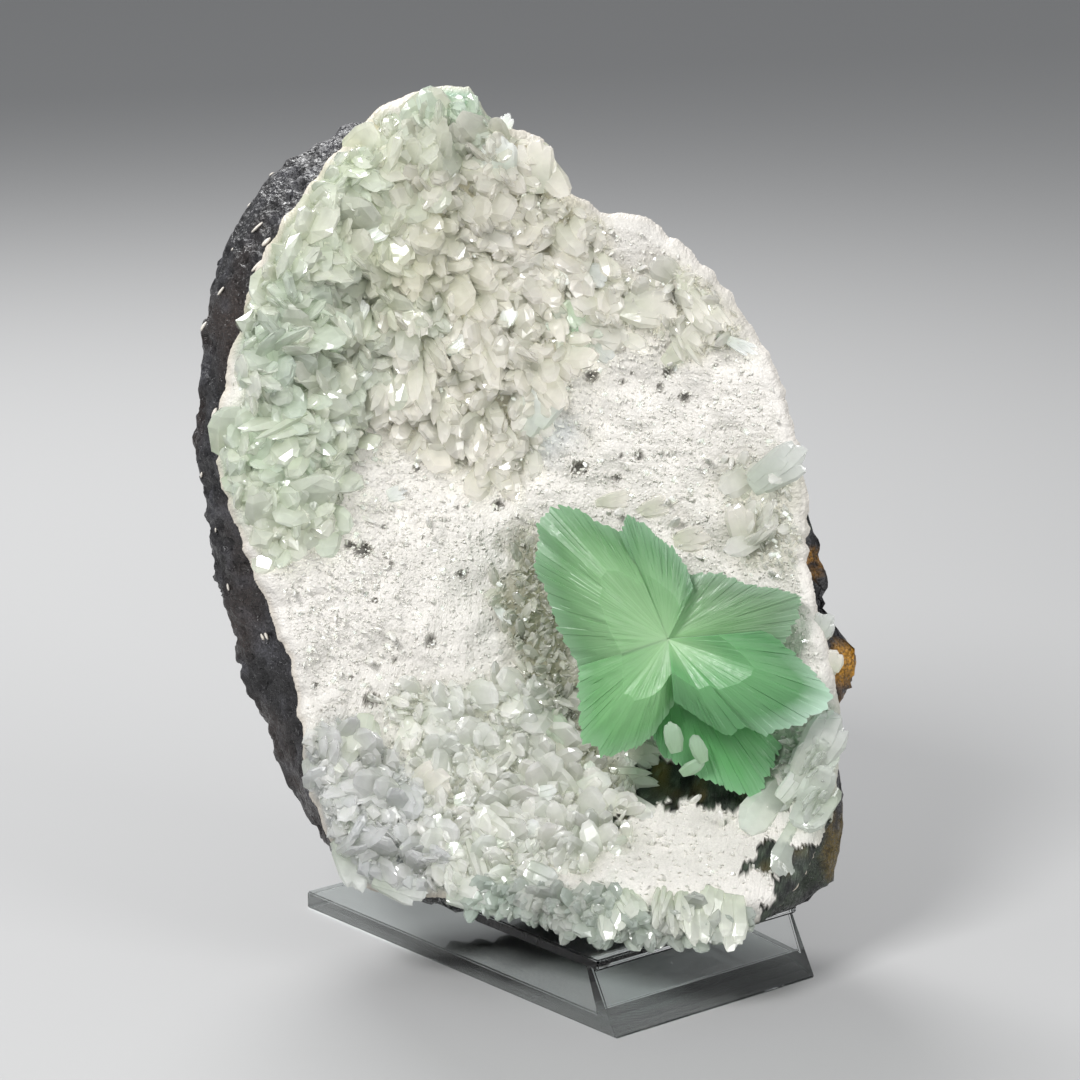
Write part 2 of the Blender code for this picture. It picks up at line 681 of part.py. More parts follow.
def build():
    """Build the whole object."""
    for piece in list(bpy.data.objects):
        bpy.data.objects.remove(piece)

    assembly = bpy.data.objects.new("assembly", None)
    bpy.context.collection.objects.link(assembly)
    specimen = bpy.data.objects.new("specimen", None)
    bpy.context.collection.objects.link(specimen)
    specimen.parent = assembly
    specimen.location = [value * MM for value in SPECIMEN_AT]
    specimen.rotation_euler.x = math.radians(90.0 - LEAN_BACK)

    basalt = make_basalt(new_material("basalt", (0.045, 0.038, 0.036), 0.7), specimen)
    crust = make_crust(new_material("druse", (0.72, 0.7, 0.66), 0.45), specimen)
    green = new_material("apophyllite", (0.28, 0.62, 0.34), 0.25, 0.35, 1.54)
    rosette = make_rosette(green, specimen)
    stand = make_stand(new_material("acrylic", (0.95, 0.97, 0.97), 0.03, 1.0, 1.49), assembly)

    shelf_end = -SHELF_SETBACK - SHELF_LENGTH - SEAT_MARGIN
    shelf_seat = make_seat_guide("shelf_seat_guide", (shelf_end, SEAT_OVERRUN), SHELF_TOP + GAP, assembly)
    plate_seat = make_seat_guide("plate_seat_guide", (-STAND_LENGTH - SEAT_OVERRUN, SEAT_OVERRUN),
                                 BASE_THICKNESS + GAP, assembly)
    for piece in (basalt, crust):
        combine(piece, shelf_seat, "DIFFERENCE")
    combine(basalt, plate_seat, "DIFFERENCE")
    centre_over_origin(assembly, (basalt, crust, rosette, stand))


build()
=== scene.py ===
import math
import random

import bmesh
import bpy
import numpy as np
from mathutils import Matrix, Vector, kdtree, noise


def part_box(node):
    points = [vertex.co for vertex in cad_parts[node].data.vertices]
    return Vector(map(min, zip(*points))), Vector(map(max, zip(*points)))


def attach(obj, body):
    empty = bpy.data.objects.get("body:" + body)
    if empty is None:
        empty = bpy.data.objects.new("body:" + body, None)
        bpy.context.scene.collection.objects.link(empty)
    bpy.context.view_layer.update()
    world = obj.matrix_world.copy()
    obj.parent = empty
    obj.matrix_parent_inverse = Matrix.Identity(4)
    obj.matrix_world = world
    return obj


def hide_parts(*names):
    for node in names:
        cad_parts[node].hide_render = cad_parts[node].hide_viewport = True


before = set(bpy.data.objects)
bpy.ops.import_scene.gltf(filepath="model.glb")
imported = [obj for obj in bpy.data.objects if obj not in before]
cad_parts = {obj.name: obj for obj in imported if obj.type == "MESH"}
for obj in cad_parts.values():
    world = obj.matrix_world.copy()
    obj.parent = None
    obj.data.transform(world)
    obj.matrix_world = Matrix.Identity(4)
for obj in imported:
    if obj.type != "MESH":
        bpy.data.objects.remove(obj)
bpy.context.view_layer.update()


# Camera
# The stand's near corner is where every distance starts. The camera stands in front of it and
# looks 14 degrees down through a long lens, square on to the specimen's face.

MM = 0.001
STAND_RIGHT_OF_CORNER = 55.92
CAMERA_FROM_CORNER = (-12.9, -615.4, 240.0)
CAMERA_DOWN = 14.0
CAMERA_LENS = 129.93
CAMERA_SENSOR = 36.0

stand_low, stand_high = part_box("acrylic_stand")
near_corner = Vector((stand_low.x + STAND_RIGHT_OF_CORNER * MM, stand_low.y, 0.0))

camera_data = bpy.data.cameras.new("camera")
camera_data.lens = CAMERA_LENS
camera_data.sensor_width = CAMERA_SENSOR
camera_data.clip_end = 20.0
camera = bpy.data.objects.new("camera", camera_data)
bpy.context.collection.objects.link(camera)
camera.location = near_corner + Vector(CAMERA_FROM_CORNER) * MM
camera.rotation_euler = (math.radians(90.0 - CAMERA_DOWN), 0.0, 0.0)
bpy.context.scene.camera = camera


# Floor and light
# A plain pale sheet under the stand, one large soft box over the left shoulder, a weaker one on
# the right and a strip behind that edges the crystals with light.

FLOOR_HALF = 4.0
LIGHTS = (
    ("key_box", (-0.34, -0.52, 0.66), 0.25, 6.4),
    ("right_box", (0.62, -0.50, 0.36), 0.34, 2.7),
    ("back_strip", (-0.20, 0.50, 0.62), 0.36, 5.0),
)
AIM_HEIGHT = 0.075
ROOM_LIGHT = 0.4


def srgb(red, green, blue):
    """Linear colour from the 0 to 255 values read off a screen."""
    shares = [value / 255.0 for value in (red, green, blue)]
    return tuple(v / 12.92 if v <= 0.04045 else ((v + 0.055) / 1.055) ** 2.4 for v in shares)


def start_material(name, colour, roughness, ior=1.5):
    """Make a material with plain values on its Principled shader, and return its parts."""
    material = bpy.data.materials.new(name)
    material.use_nodes = True
    nodes = material.node_tree.nodes
    shader = nodes["Principled BSDF"]
    shader.inputs["Base Color"].default_value = (*colour, 1.0)
    shader.inputs["Roughness"].default_value = roughness
    shader.inputs["IOR"].default_value = ior
    return material, nodes, material.node_tree.links, shader


floor_mesh = bpy.data.meshes.new("floor")
floor_mesh.from_pydata([(-FLOOR_HALF, -FLOOR_HALF, 0.0), (FLOOR_HALF, -FLOOR_HALF, 0.0),
                        (FLOOR_HALF, FLOOR_HALF, 0.0), (-FLOOR_HALF, FLOOR_HALF, 0.0)],
                       [], [(0, 1, 2, 3)])
floor = bpy.data.objects.new("floor", floor_mesh)
bpy.context.collection.objects.link(floor)
floor_mesh.materials.append(start_material("floor_paper", (0.42, 0.42, 0.42), 0.85)[0])

world = bpy.data.worlds.new("studio")
world.use_nodes = True
world.node_tree.nodes["Background"].inputs["Color"].default_value = (0.85, 0.87, 0.9, 1.0)
world.node_tree.nodes["Background"].inputs["Strength"].default_value = ROOM_LIGHT
bpy.context.scene.world = world
bpy.context.scene.view_settings.view_transform = "Standard"

for light_name, place, size, power in LIGHTS:
    light_data = bpy.data.lights.new(light_name, "AREA")
    light_data.shape = "SQUARE"
    light_data.size = size
    light_data.energy = power
    light = bpy.data.objects.new(light_name, light_data)
    bpy.context.collection.objects.link(light)
    light.location = place
    aim = Vector((0.0, 0.0, AIM_HEIGHT)) - light.location
    light.rotation_euler = aim.to_track_quat("-Z", "Y").to_euler()


# Acrylic stand
# Clear cast acrylic: a base plate, a leaning end wall and a short shelf, cemented into one
# C-shaped piece. Its edges are sawn and polished, and its faces carry faint wipe marks.

STAND_LENGTH = 87.0
STAND_WIDTH = 46.3
BASE_THICKNESS = 3.2
SHELF_TOP = 12.65
SHELF_THICKNESS = 1.95
SHELF_LENGTH = 33.0
SHELF_SETBACK = 5.0
WALL_LEAN = 0.571
WALL_FOOT = 5.3
WALL_HEAD = 8.1
STAND_TURN = math.radians(-50.0)
EDGE_BEVEL = 0.28
ACRYLIC_TINT = (0.965, 0.985, 0.98)

# A grain has a size in millimetres, a detail, a lowest and a highest value. A bump has a depth in
# millimetres and a strength.
GRAIN_CONTRAST = (0.32, 0.68)
WIPE_MARKS = (6.0, 5.0, 0.005, 0.06)
RIPPLE = (14.0, 1.0, 0.0, 1.0)
RIPPLE_BUMP = (0.05, 0.4)


def new_group(name, inputs, outputs):
    """Make an empty shader node group with named sockets, and return it with its two ends."""
    group = bpy.data.node_groups.new(name, "ShaderNodeTree")
    for label, kind, value in inputs:
        socket = group.interface.new_socket(label, in_out="INPUT", socket_type=kind)
        socket.default_value = value
    for label, kind in outputs:
        group.interface.new_socket(label, in_out="OUTPUT", socket_type=kind)
    entry = group.nodes.new("NodeGroupInput")
    leave = group.nodes.new("NodeGroupOutput")
    return group, entry, leave


def make_grain_group():
    """Irregular grain of a given size in millimetres: a value between Low and High, and a height."""
    group, entry, leave = new_group(
        "grain",
        (("Size", "NodeSocketFloat", 1.0), ("Detail", "NodeSocketFloat", 3.0),
         ("Low", "NodeSocketFloat", 0.0), ("High", "NodeSocketFloat", 1.0)),
        (("Value", "NodeSocketFloat"), ("Height", "NodeSocketFloat")))
    place = group.nodes.new("ShaderNodeTexCoord")
    scale = group.nodes.new("ShaderNodeMath")
    scale.operation = "DIVIDE"
    scale.inputs[0].default_value = 1000.0
    pattern = group.nodes.new("ShaderNodeTexNoise")
    spread = group.nodes.new("ShaderNodeMapRange")
    spread.inputs["From Min"].default_value = GRAIN_CONTRAST[0]
    spread.inputs["From Max"].default_value = GRAIN_CONTRAST[1]
    group.links.new(entry.outputs["Size"], scale.inputs[1])
    group.links.new(place.outputs["Object"], pattern.inputs["Vector"])
    group.links.new(scale.outputs[0], pattern.inputs["Scale"])
    group.links.new(entry.outputs["Detail"], pattern.inputs["Detail"])
    group.links.new(pattern.outputs[0], spread.inputs["Value"])
    group.links.new(entry.outputs["Low"], spread.inputs["To Min"])
    group.links.new(entry.outputs["High"], spread.inputs["To Max"])
    group.links.new(spread.outputs["Result"], leave.inputs["Value"])
    group.links.new(pattern.outputs[0], leave.inputs["Height"])
    return group


grain_group = make_grain_group()


def add_grain(nodes, size, detail, low, high):
    """Place the grain group in a material with its own values."""
    grain = nodes.new("ShaderNodeGroup")
    grain.node_tree = grain_group
    for label, value in (("Size", size), ("Detail", detail), ("Low", low), ("High", high)):
        grain.inputs[label].default_value = value
    return grain


def add_gloss(nodes, links, shader, grain_values):
    """Vary a shader's roughness by grain, and return the grain."""
    grain = add_grain(nodes, *grain_values)
    links.new(grain.outputs["Value"], shader.inputs["Roughness"])
    return grain


def add_bump(nodes, links, shader, height, depth_mm, strength, below=None):
    """Feed a height into the shader's normal, on top of an earlier bump if one is given."""
    bump = nodes.new("ShaderNodeBump")
    bump.inputs["Strength"].default_value = strength
    bump.inputs["Distance"].default_value = depth_mm * MM
    links.new(height, bump.inputs["Height"])
    if below is not None:
        links.new(below.outputs["Normal"], bump.inputs["Normal"])
    links.new(bump.outputs["Normal"], shader.inputs["Normal"])
    return bump


def let_light_through(nodes, links, shader, share, colour):
    """Let a share of the lamps' light pass straight through a clear solid, tinted by it."""
    path = nodes.new("ShaderNodeLightPath")
    part = nodes.new("ShaderNodeMath")
    part.operation = "MULTIPLY"
    part.inputs[1].default_value = share
    clear = nodes.new("ShaderNodeBsdfTransparent")
    clear.inputs["Color"].default_value = (*colour, 1.0)
    mix = nodes.new("ShaderNodeMixShader")
    links.new(path.outputs["Is Shadow Ray"], part.inputs[0])
    links.new(part.outputs[0], mix.inputs[0])
    links.new(shader.outputs[0], mix.inputs[1])
    links.new(clear.outputs[0], mix.inputs[2])
    links.new(mix.outputs[0], nodes["Material Output"].inputs["Surface"])


def make_acrylic():
    """Clear acrylic with faint wipe marks."""
    material, nodes, links, shader = start_material("clear_acrylic", ACRYLIC_TINT, 0.02, 1.49)
    shader.inputs["Transmission Weight"].default_value = 1.0
    let_light_through(nodes, links, shader, 1.0, ACRYLIC_TINT)
    add_gloss(nodes, links, shader, WIPE_MARKS)
    ripple = add_grain(nodes, *RIPPLE)
    add_bump(nodes, links, shader, ripple.outputs["Height"], *RIPPLE_BUMP)
    return material


def stand_outline():
    """Side outline of the stand: along its long edge and up."""
    shelf_under = SHELF_TOP - SHELF_THICKNESS
    return (
        (-STAND_LENGTH, 0.0),
        (0.0, 0.0),
        (-WALL_LEAN * shelf_under, shelf_under),
        (-SHELF_SETBACK, shelf_under),
        (-SHELF_SETBACK, SHELF_TOP),
        (-SHELF_SETBACK - SHELF_LENGTH, SHELF_TOP),
        (-SHELF_SETBACK - SHELF_LENGTH, shelf_under),
        (-WALL_HEAD, shelf_under),
        (-WALL_FOOT, BASE_THICKNESS),
        (-STAND_LENGTH, BASE_THICKNESS),
    )


def make_stand():
    """The stand, drawn out along its short edge, with its sharp edges eased."""
    outline = stand_outline()
    count = len(outline)
    points = [(x, 0.0, z) for x, z in outline] + [(x, STAND_WIDTH, z) for x, z in outline]
    faces = [tuple(range(count)), tuple(range(2 * count - 1, count - 1, -1))]
    for i in range(count):
        j = (i + 1) % count
        faces.append((i, i + count, j + count, j))
    mesh = bpy.data.meshes.new("clear_stand")
    mesh.from_pydata([[value * MM for value in point] for point in points], [], faces)
    work = bmesh.new()
    work.from_mesh(mesh)
    bmesh.ops.recalc_face_normals(work, faces=work.faces)
    bmesh.ops.bevel(work, geom=work.edges[:], offset=EDGE_BEVEL * MM, segments=2, affect="EDGES")
    work.to_mesh(mesh)
    work.free()
    mesh.transform(Matrix.Translation(near_corner) @ Matrix.Rotation(STAND_TURN, 4, "Z"))
    mesh.materials.append(make_acrylic())
    stand = bpy.data.objects.new("clear_stand", mesh)
    bpy.context.collection.objects.link(stand)
    return stand


stand = make_stand()
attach(stand, "root")
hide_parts("acrylic_stand")


# Basalt matrix
# The broken lump of dark lava that the hollow formed in: dull and rough behind, full of burst
# gas blisters, with a rounded rind on the left and weathered ochre and green patches on the right.

SPECIMEN_AT = (-12.9, 46.3, 75.0)
LEAN_BACK = 14.0
GAP = 0.3
FACE_MIDDLE = (-3.0, 3.0)
TREND_WINDOW = 20
CRUST_THICKNESS = 5.0
CRUST_EDGE = (
    (-17.5, 79, 2), (-11.5, 79, 2), (-10, 73.5, 2), (0.5, 69.5, 2), (4, 61, 3), (10.5, 57, 3),
    (19, 55.5, 3), (26, 50, 3), (36, 38, 3), (43, 22.5, 3), (45.5, 11, 4), (46, -3.5, 5),
    (47.5, -12, 6), (50.5, -21, 6), (51.5, -36.5, 6), (50.5, -47.5, 6), (45, -58.5, 9),
    (38.5, -64.5, 14), (27.5, -67.5, 18), (17, -66.5, 19), (3.5, -65, 17), (-7, -62.5, 13),
    (-19, -61, 9), (-29.5, -60, 6), (-35.5, -53, 4), (-40, -41.5, 4), (-41, -31.5, 4),
    (-43, -21, 5), (-46.5, -10.5, 6), (-52.5, 3.5, 7), (-55, 11.5, 7), (-55, 24, 7),
    (-52, 34, 7), (-48, 47, 6), (-41.5, 58, 5), (-34, 68, 4), (-28.5, 74.5, 3),
)
BASALT_EDGE = (
    (-29, 74.5, -8), (-19.5, 76.5, -6), (-12.5, 75.5, -6), (0, 67, -6), (4, 58.5, -6),
    (17.5, 53, -6), (28, 45, -6), (38, 30.5, -6), (43, 17.5, -6), (47, 7, -4), (48.5, -3.5, -2),
    (49.5, -12, 0), (55.5, -19.5, 0), (55.5, -25, 0), (52, -29, -2), (52.5, -38.5, -4),
    (53.5, -51, -4), (52, -60, -4), (45.5, -65, 0), (35, -66, 4), (24.5, -66, 6), (10.5, -64.5, 4),
    (-3.5, -62.5, 2), (-17.5, -60.5, -2), (-30, -59, -6), (-37, -55, -8), (-42.5, -44.5, -8),
    (-49, -30.5, -8), (-53, -19.5, -8), (-57.5, -5.5, -8), (-60, 9, -8), (-60.5, 25, -8),
    (-60, 33.5, -8), (-58, 46, -8), (-53, 56.5, -8), (-48, 64.5, -8), (-42.5, 69, -8),
    (-33.5, 74, -8),
)
BOWL_FLOOR = -6.0
BOWL_STEEPNESS = 2.3
SWELLS = (
    (-44, 30, 10, 36, 8, 8),
    (-24, 58, 20, 15, 20, 8),
    (-12, 32, 22, 11, -20, 5),
    (-31, -46, 10, 18, 20, 7),
    (20, -61, 30, 8, 4, 7),
    (-22, -12, 18, 18, 0, 3),
    (16, -38, 19, 12, 0, -9),
    (47, -38, 6, 14, 0, 4),
)
BASALT_DEPTH = 28.0
BACK_MIDDLE = -4.0
BACK_POWER = 2.3
BACK_TREND = 0.8
RIM_BULGE = 1.6
RIM_ROUGHNESS = 0.35
RIM_DROP = 2.0
LUMP_SIZE = 15.0
LUMP_HEIGHT = 3.2
BLISTER_SIZE = 5.0
BLISTER_HEIGHT = 2.6
BLISTER_SHIFT = Vector((7.0, 3.0, 5.0))
FRACTURE_FLATNESS = 0.85
FRACTURES = (
    ((-0.55, 0.15, -0.82), 46.0),
    ((0.5, 0.25, -0.83), 41.0),
    ((0.1, 0.75, -0.65), 60.0),
    ((-0.35, -0.5, -0.79), 52.0),
    ((0.45, -0.6, -0.66), 60.0),
    ((-0.85, 0.35, -0.39), 56.0),
)
HEEL_ANGLE = -94.0
HEEL_SPREAD = 27.0
HEEL_DOWN = 16.0
HEEL_BACK = 10.0
HEEL_POWER = 3.2
HEEL_SHARE = 0.86
HEEL_WIDTH = 0.12
SEAT_MARGIN = 0.6

ROCK_COLUMNS = 520
ROCK_UNDER_SHARES = (0.25, 0.5, 0.75, 0.9, 0.97, 1.0)
ROCK_RIM_ROWS = 24
ROCK_BACK_ROWS = 92
RIND_ANGLE = math.radians(168.0)
RIND_SPREAD = math.radians(52.0)
RIND_DENSITY = 1.6
ROUGH_SIZES = ((3.2, 0.55), (1.5, 0.30), (0.7, 0.12))
VESICLE_COUNT = 3400
VESICLE_RADII = (0.45, 1.5)
VESICLE_DEPTH = 0.85
ROCK_DARK = srgb(31, 30, 32)
ROCK_BROWN = srgb(56, 44, 38)
ROCK_PALE = srgb(84, 84, 90)
# Blotches: colour, size, seed, strength and how much is added all over
ROCK_BLOTCHES = ((ROCK_BROWN, 9.0, 21, 0.8, 0.0), (ROCK_PALE, 3.0, 22, 0.5, 0.0))
# Painted shade inside the burst blisters, deeper where they are deeper
VESICLE_PAINTED_SHADE = 0.45
ROCK_BACK_SPACING = 0.87
ROCK_TINT_GRAIN = (0.4, 4.0, 0.35, 1.7)
ROCK_GLOSS = (0.8, 3.0, 0.08, 0.6)
ROCK_COARSE = (0.9, 5.0, 0.0, 1.0)
ROCK_COARSE_BUMP = (0.7, 0.9)
ROCK_PORES = 1000.0
ROCK_PORE_BUMP = (0.35, 0.8)
# Stained patches: place on the face, radius and colour
ROCK_PATCHES = (
    ((54.0, -22.0, 0.0), 4.6, srgb(150, 106, 24)),
    ((49.5, -4.0, 0.0), 2.6, srgb(170, 120, 38)),
    ((48.0, 7.0, -3.0), 4.5, srgb(38, 50, 38)),
    ((47.0, -60.0, 2.0), 9.0, srgb(42, 52, 38)),
    ((52.0, -54.0, -3.0), 6.0, srgb(84, 70, 28)),
    ((44.0, -64.0, 0.0), 6.0, srgb(22, 24, 22)),
    ((-10.0, 20.0, -30.0), 16.0, srgb(84, 66, 52)),
    ((20.0, -20.0, -28.0), 14.0, srgb(66, 60, 58)),
)

face_to_world = (Matrix.Translation(near_corner + Vector(SPECIMEN_AT) * MM)
                 @ Matrix.Rotation(math.radians(90.0 - LEAN_BACK), 4, "X") @ Matrix.Scale(MM, 4))
world_to_face = face_to_world.inverted()
to_world = np.array(face_to_world)
to_face = np.array(world_to_face)


def moved_by(matrix, points):
    """Points carried by a 4 by 4 matrix."""
    return points @ matrix[:3, :3].T + matrix[:3, 3]


def edge_tables(edge, window=0):
    """Radius and height of a closed edge at each degree round the face, averaged over a window."""
    angles = [math.atan2(y - FACE_MIDDLE[1], x - FACE_MIDDLE[0]) for x, y, z in edge]
    radii = [math.hypot(x - FACE_MIDDLE[0], y - FACE_MIDDLE[1]) for x, y, z in edge]
    heights = [z for x, y, z in edge]
    turns = np.radians(np.arange(360))
    tables = []
    for values in (radii, heights):
        table = np.interp(turns, angles, values, period=math.tau)
        shifts = range(-window, window + 1)
        tables.append(np.mean([np.roll(table, shift) for shift in shifts], axis=0))
    return tables


def edge_at(tables, angle):
    """Radius and height of an edge at any angles."""
    place = np.degrees(angle) % 360.0
    return [np.interp(place, np.arange(360), table, period=360.0) for table in tables]


def round_face(angles, reach):
    """Places at some angles and distances from the middle of the face."""
    return FACE_MIDDLE[0] + reach * np.cos(angles), FACE_MIDDLE[1] + reach * np.sin(angles)


def unit_rows(rows):
    """Rows of vectors, each brought to length 1."""
    return rows / np.linalg.norm(rows, axis=1)[:, None]


def painted(colour, count):
    """A number of rows of one colour."""
    return np.tile(np.array(colour), (count, 1))


def between(ends, share):
    """A value part of the way from the first of two ends to the second."""
    return ends[0] + (ends[1] - ends[0]) * share


crust_edge = edge_tables(CRUST_EDGE)
crust_trend = edge_tables(CRUST_EDGE, TREND_WINDOW)
basalt_edge = edge_tables(BASALT_EDGE)
basalt_trend = edge_tables(BASALT_EDGE, TREND_WINDOW)


def share_out(x, y):
    """How far places lie out to the crust's edge: 0 in the middle, 1 on the edge."""
    across = x - FACE_MIDDLE[0]
    upward = y - FACE_MIDDLE[1]
    radius, _ = edge_at(crust_edge, np.arctan2(upward, across))
    return np.hypot(across, upward) / radius


def relief(x, y):
    """Height of the lining above the face plane."""
    across = x - FACE_MIDDLE[0]
    upward = y - FACE_MIDDLE[1]
    angle = np.arctan2(upward, across)
    away = np.hypot(across, upward)
    radius, rim_height = edge_at(crust_edge, angle)
    trend, trend_height = edge_at(crust_trend, angle)
    share = np.minimum(away / radius, 1.0)
    radius = trend + (radius - trend) * share
    rim_height = trend_height + (rim_height - trend_height) * share
    rise = np.minimum(away / radius, 1.0) ** BOWL_STEEPNESS
    height = BOWL_FLOOR * (1.0 - rise) + rim_height * rise
    for x0, y0, half_width, half_height, turn, swell in SWELLS:
        c = math.cos(math.radians(turn))
        s = math.sin(math.radians(turn))
        along = ((x - x0) * c + (y - y0) * s) / half_width
        over = ((y - y0) * c - (x - x0) * s) / half_height
        height = height + swell * np.exp(-along * along - over * over)
    return height


def lining_points(angles, share, lift):
    """Points of the lining at some angles and one share of the way out."""
    radius, _ = edge_at(crust_edge, angles)
    x, y = round_face(angles, share * radius)
    return np.column_stack((x, y, relief(x, y) + lift))


def field(points, size, shift=Vector((0.0, 0.0, 0.0))):
    """Smooth noise at each point, with features of a size in millimetres."""
    return np.array([noise.noise(Vector(point) / size + shift) for point in points.tolist()])


def cell_field(points, size, seed):
    """Quick smooth noise for large sets of points, from hashed corners of a grid."""
    scaled = points / size + seed * 13.7
    cell = np.floor(scaled).astype(np.int64)
    part = scaled - cell
    part = part * part * (3.0 - 2.0 * part)
    total = np.zeros(len(scaled))
    for corner in range(8):
        step = np.array((corner & 1, corner >> 1 & 1, corner >> 2 & 1))
        at = cell + step
        mixed = at[:, 0] * 73856093 ^ at[:, 1] * 19349663 ^ at[:, 2] * 83492791
        mixed = (mixed ^ mixed >> 13) * 1274126177 & 0xffffffff
        value = (mixed ^ mixed >> 16) % 65536 / 32767.5 - 1.0
        weight = np.prod(np.where(step == 1, part, 1.0 - part), axis=1)
        total += value * weight
    return total


def from_middle(points):
    """Direction of each point of the rock from the middle of its back."""
    return unit_rows(points - np.array((*FACE_MIDDLE, BACK_MIDDLE)))


def roughened(points, amount):
    """Points of the broken rock moved by its lumps and burst gas blisters."""
    lump = field(points, LUMP_SIZE) * LUMP_HEIGHT
    blister = np.abs(field(points, BLISTER_SIZE, BLISTER_SHIFT)) * BLISTER_HEIGHT
    return points + from_middle(points) * ((lump - blister) * amount)[:, None]


def break_flat(points):
    """Points of the back pushed in to the flat faces where the rock broke."""
    for direction, reach in FRACTURES:
        normal = np.array(direction) / np.linalg.norm(direction)
        over = np.maximum(points @ normal - reach, 0.0)
        points = points - FRACTURE_FLATNESS * over[:, None] * normal
    return points


def rock_rim(angles, share, under):
    """Ring of the rock's rim, from the lining's edge out to the rock's widest line."""
    inner = lining_points(angles, 1.0, under)
    radius, height = edge_at(basalt_edge, angles)
    outer = np.column_stack((*round_face(angles, radius),
                             np.minimum(height, inner[:, 2] - RIM_DROP)))
    bulge = 1.0 - (1.0 - share) ** RIM_BULGE
    parts = np.array((bulge, bulge, share))
    return roughened(inner + (outer - inner) * parts, RIM_ROUGHNESS * share)


def rock_back(angles, share):
    """Ring of the rock's back, from its widest line in to the middle, with the heel."""
    radius, height = edge_at(basalt_edge, angles)
    trend, trend_height = edge_at(basalt_trend, angles)
    blend = min(share / BACK_TREND, 1.0)
    radius = trend + (radius - trend) * blend ** 2
    height = trend_height + (height - trend_height) * blend ** 2
    away = (np.degrees(angles) - HEEL_ANGLE + 180.0) % 360.0 - 180.0
    part = np.exp(-(away / HEEL_SPREAD) ** 2) * blend
    power = BACK_POWER + HEEL_POWER * part
    depth = (BASALT_DEPTH + HEEL_BACK * part) * (1.0 - share ** power) ** (1.0 / power)
    reach = share * radius + HEEL_DOWN * part * math.exp(-((share - HEEL_SHARE) / HEEL_WIDTH) ** 2)
    points = np.column_stack((*round_face(angles, reach),
                              BACK_MIDDLE + (height - BACK_MIDDLE) * share - depth))
    return roughened(break_flat(points), 1.0)


def rock_angles():
    """Angles round the rock, closest together along the rind that faces the viewer."""
    fine = np.linspace(-math.pi, math.pi, 3601)
    away = (fine - RIND_ANGLE + math.pi) % math.tau - math.pi
    total = np.cumsum(1.0 + RIND_DENSITY * np.exp(-(away / RIND_SPREAD) ** 2))
    return np.interp((np.arange(ROCK_COLUMNS) + 0.5) / ROCK_COLUMNS, total / total[-1], fine)


def ring_faces(rows, columns):
    """Faces of a stack of closed rings between a first and a last point."""
    index = np.arange(columns)
    after = (index + 1) % columns
    faces = []
    for row in range(rows - 1):
        a = 1 + row * columns
        b = a + columns
        faces += np.column_stack((a + index, b + index, b + after, a + after)).tolist()
    last = 1 + (rows - 1) * columns
    end = last + columns
    faces += np.column_stack((np.zeros(columns, int), 1 + index, 1 + after)).tolist()
    faces += np.column_stack((np.full(columns, end), last + after, last + index)).tolist()
    return faces


def seated(points):
    """Points kept above the stand: over the shelf, and over the base plate behind it."""
    world = moved_by(to_world, points)
    along = ((world[:, 0] - near_corner.x) * math.cos(STAND_TURN)
             + (world[:, 1] - near_corner.y) * math.sin(STAND_TURN)) / MM
    shelf_end = -SHELF_SETBACK - SHELF_LENGTH - SEAT_MARGIN
    lowest = np.where(along > shelf_end, SHELF_TOP + GAP, BASE_THICKNESS + GAP) * MM
    world[:, 2] = np.maximum(world[:, 2], lowest)
    return moved_by(to_face, world)


def burst_vesicles(points, first, outward, count, radii, seed):
    """Press the burst gas bubbles into the rock, and return how deep each point lies in one."""
    draw = random.Random(seed)
    tree = kdtree.KDTree(len(points))
    for index, point in enumerate(points.tolist()):
        tree.insert(point, index)
    tree.balance()
    sunk = np.zeros(len(points))
    for _ in range(count):
        middle = draw.randrange(first, len(points))
        radius = between(radii, draw.random() ** 3)
        for _, index, away in tree.find_range(points[middle].tolist(), radius):
            dent = VESICLE_DEPTH * radius * math.sqrt(max(1.0 - (away / radius) ** 2, 0.0))
            sunk[index] = max(sunk[index], dent)
    return points - outward * sunk[:, None], sunk


def mixed_colour(base, other, amount):
    """Rows of colours part of the way to another colour."""
    return base + (np.array(other) - base) * np.clip(amount, 0.0, 1.0)[:, None]


def mottled(colours, points, blotches):
    """Colours moved towards others in soft blotches."""
    for colour, size, seed, strength, more in blotches:
        colours = mixed_colour(colours, colour, cell_field(points, size, seed) * strength + more)
    return colours


def make_piece(name, points, faces, material, node, tint=None, smooth=False, seat=True, silk=None):
    """Make one mesh of the specimen from points on its face, and tie it to the frame."""
    points = np.asarray(points, float)
    if seat:
        points = seated(points)
    mesh = bpy.data.meshes.new(name)
    mesh.from_pydata(moved_by(to_world, points).tolist(), [], faces)
    work = bmesh.new()
    work.from_mesh(mesh)
    bmesh.ops.recalc_face_normals(work, faces=work.faces)
    work.to_mesh(mesh)
    work.free()
    if tint is not None:
        layer = mesh.color_attributes.new("tint", "FLOAT_COLOR", "POINT")
        colours = np.column_stack((tint, np.ones(len(points))))
        layer.data.foreach_set("color", colours.ravel())
    if silk is not None:
        run = mesh.attributes.new("silk", "FLOAT_VECTOR", "POINT")
        run.data.foreach_set("vector", silk.ravel())
    mesh.polygons.foreach_set("use_smooth", [smooth] * len(mesh.polygons))
    mesh.materials.append(material)
    piece = bpy.data.objects.new(name, mesh)
    bpy.context.collection.objects.link(piece)
    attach(piece, "root")
    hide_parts(node)
    return piece


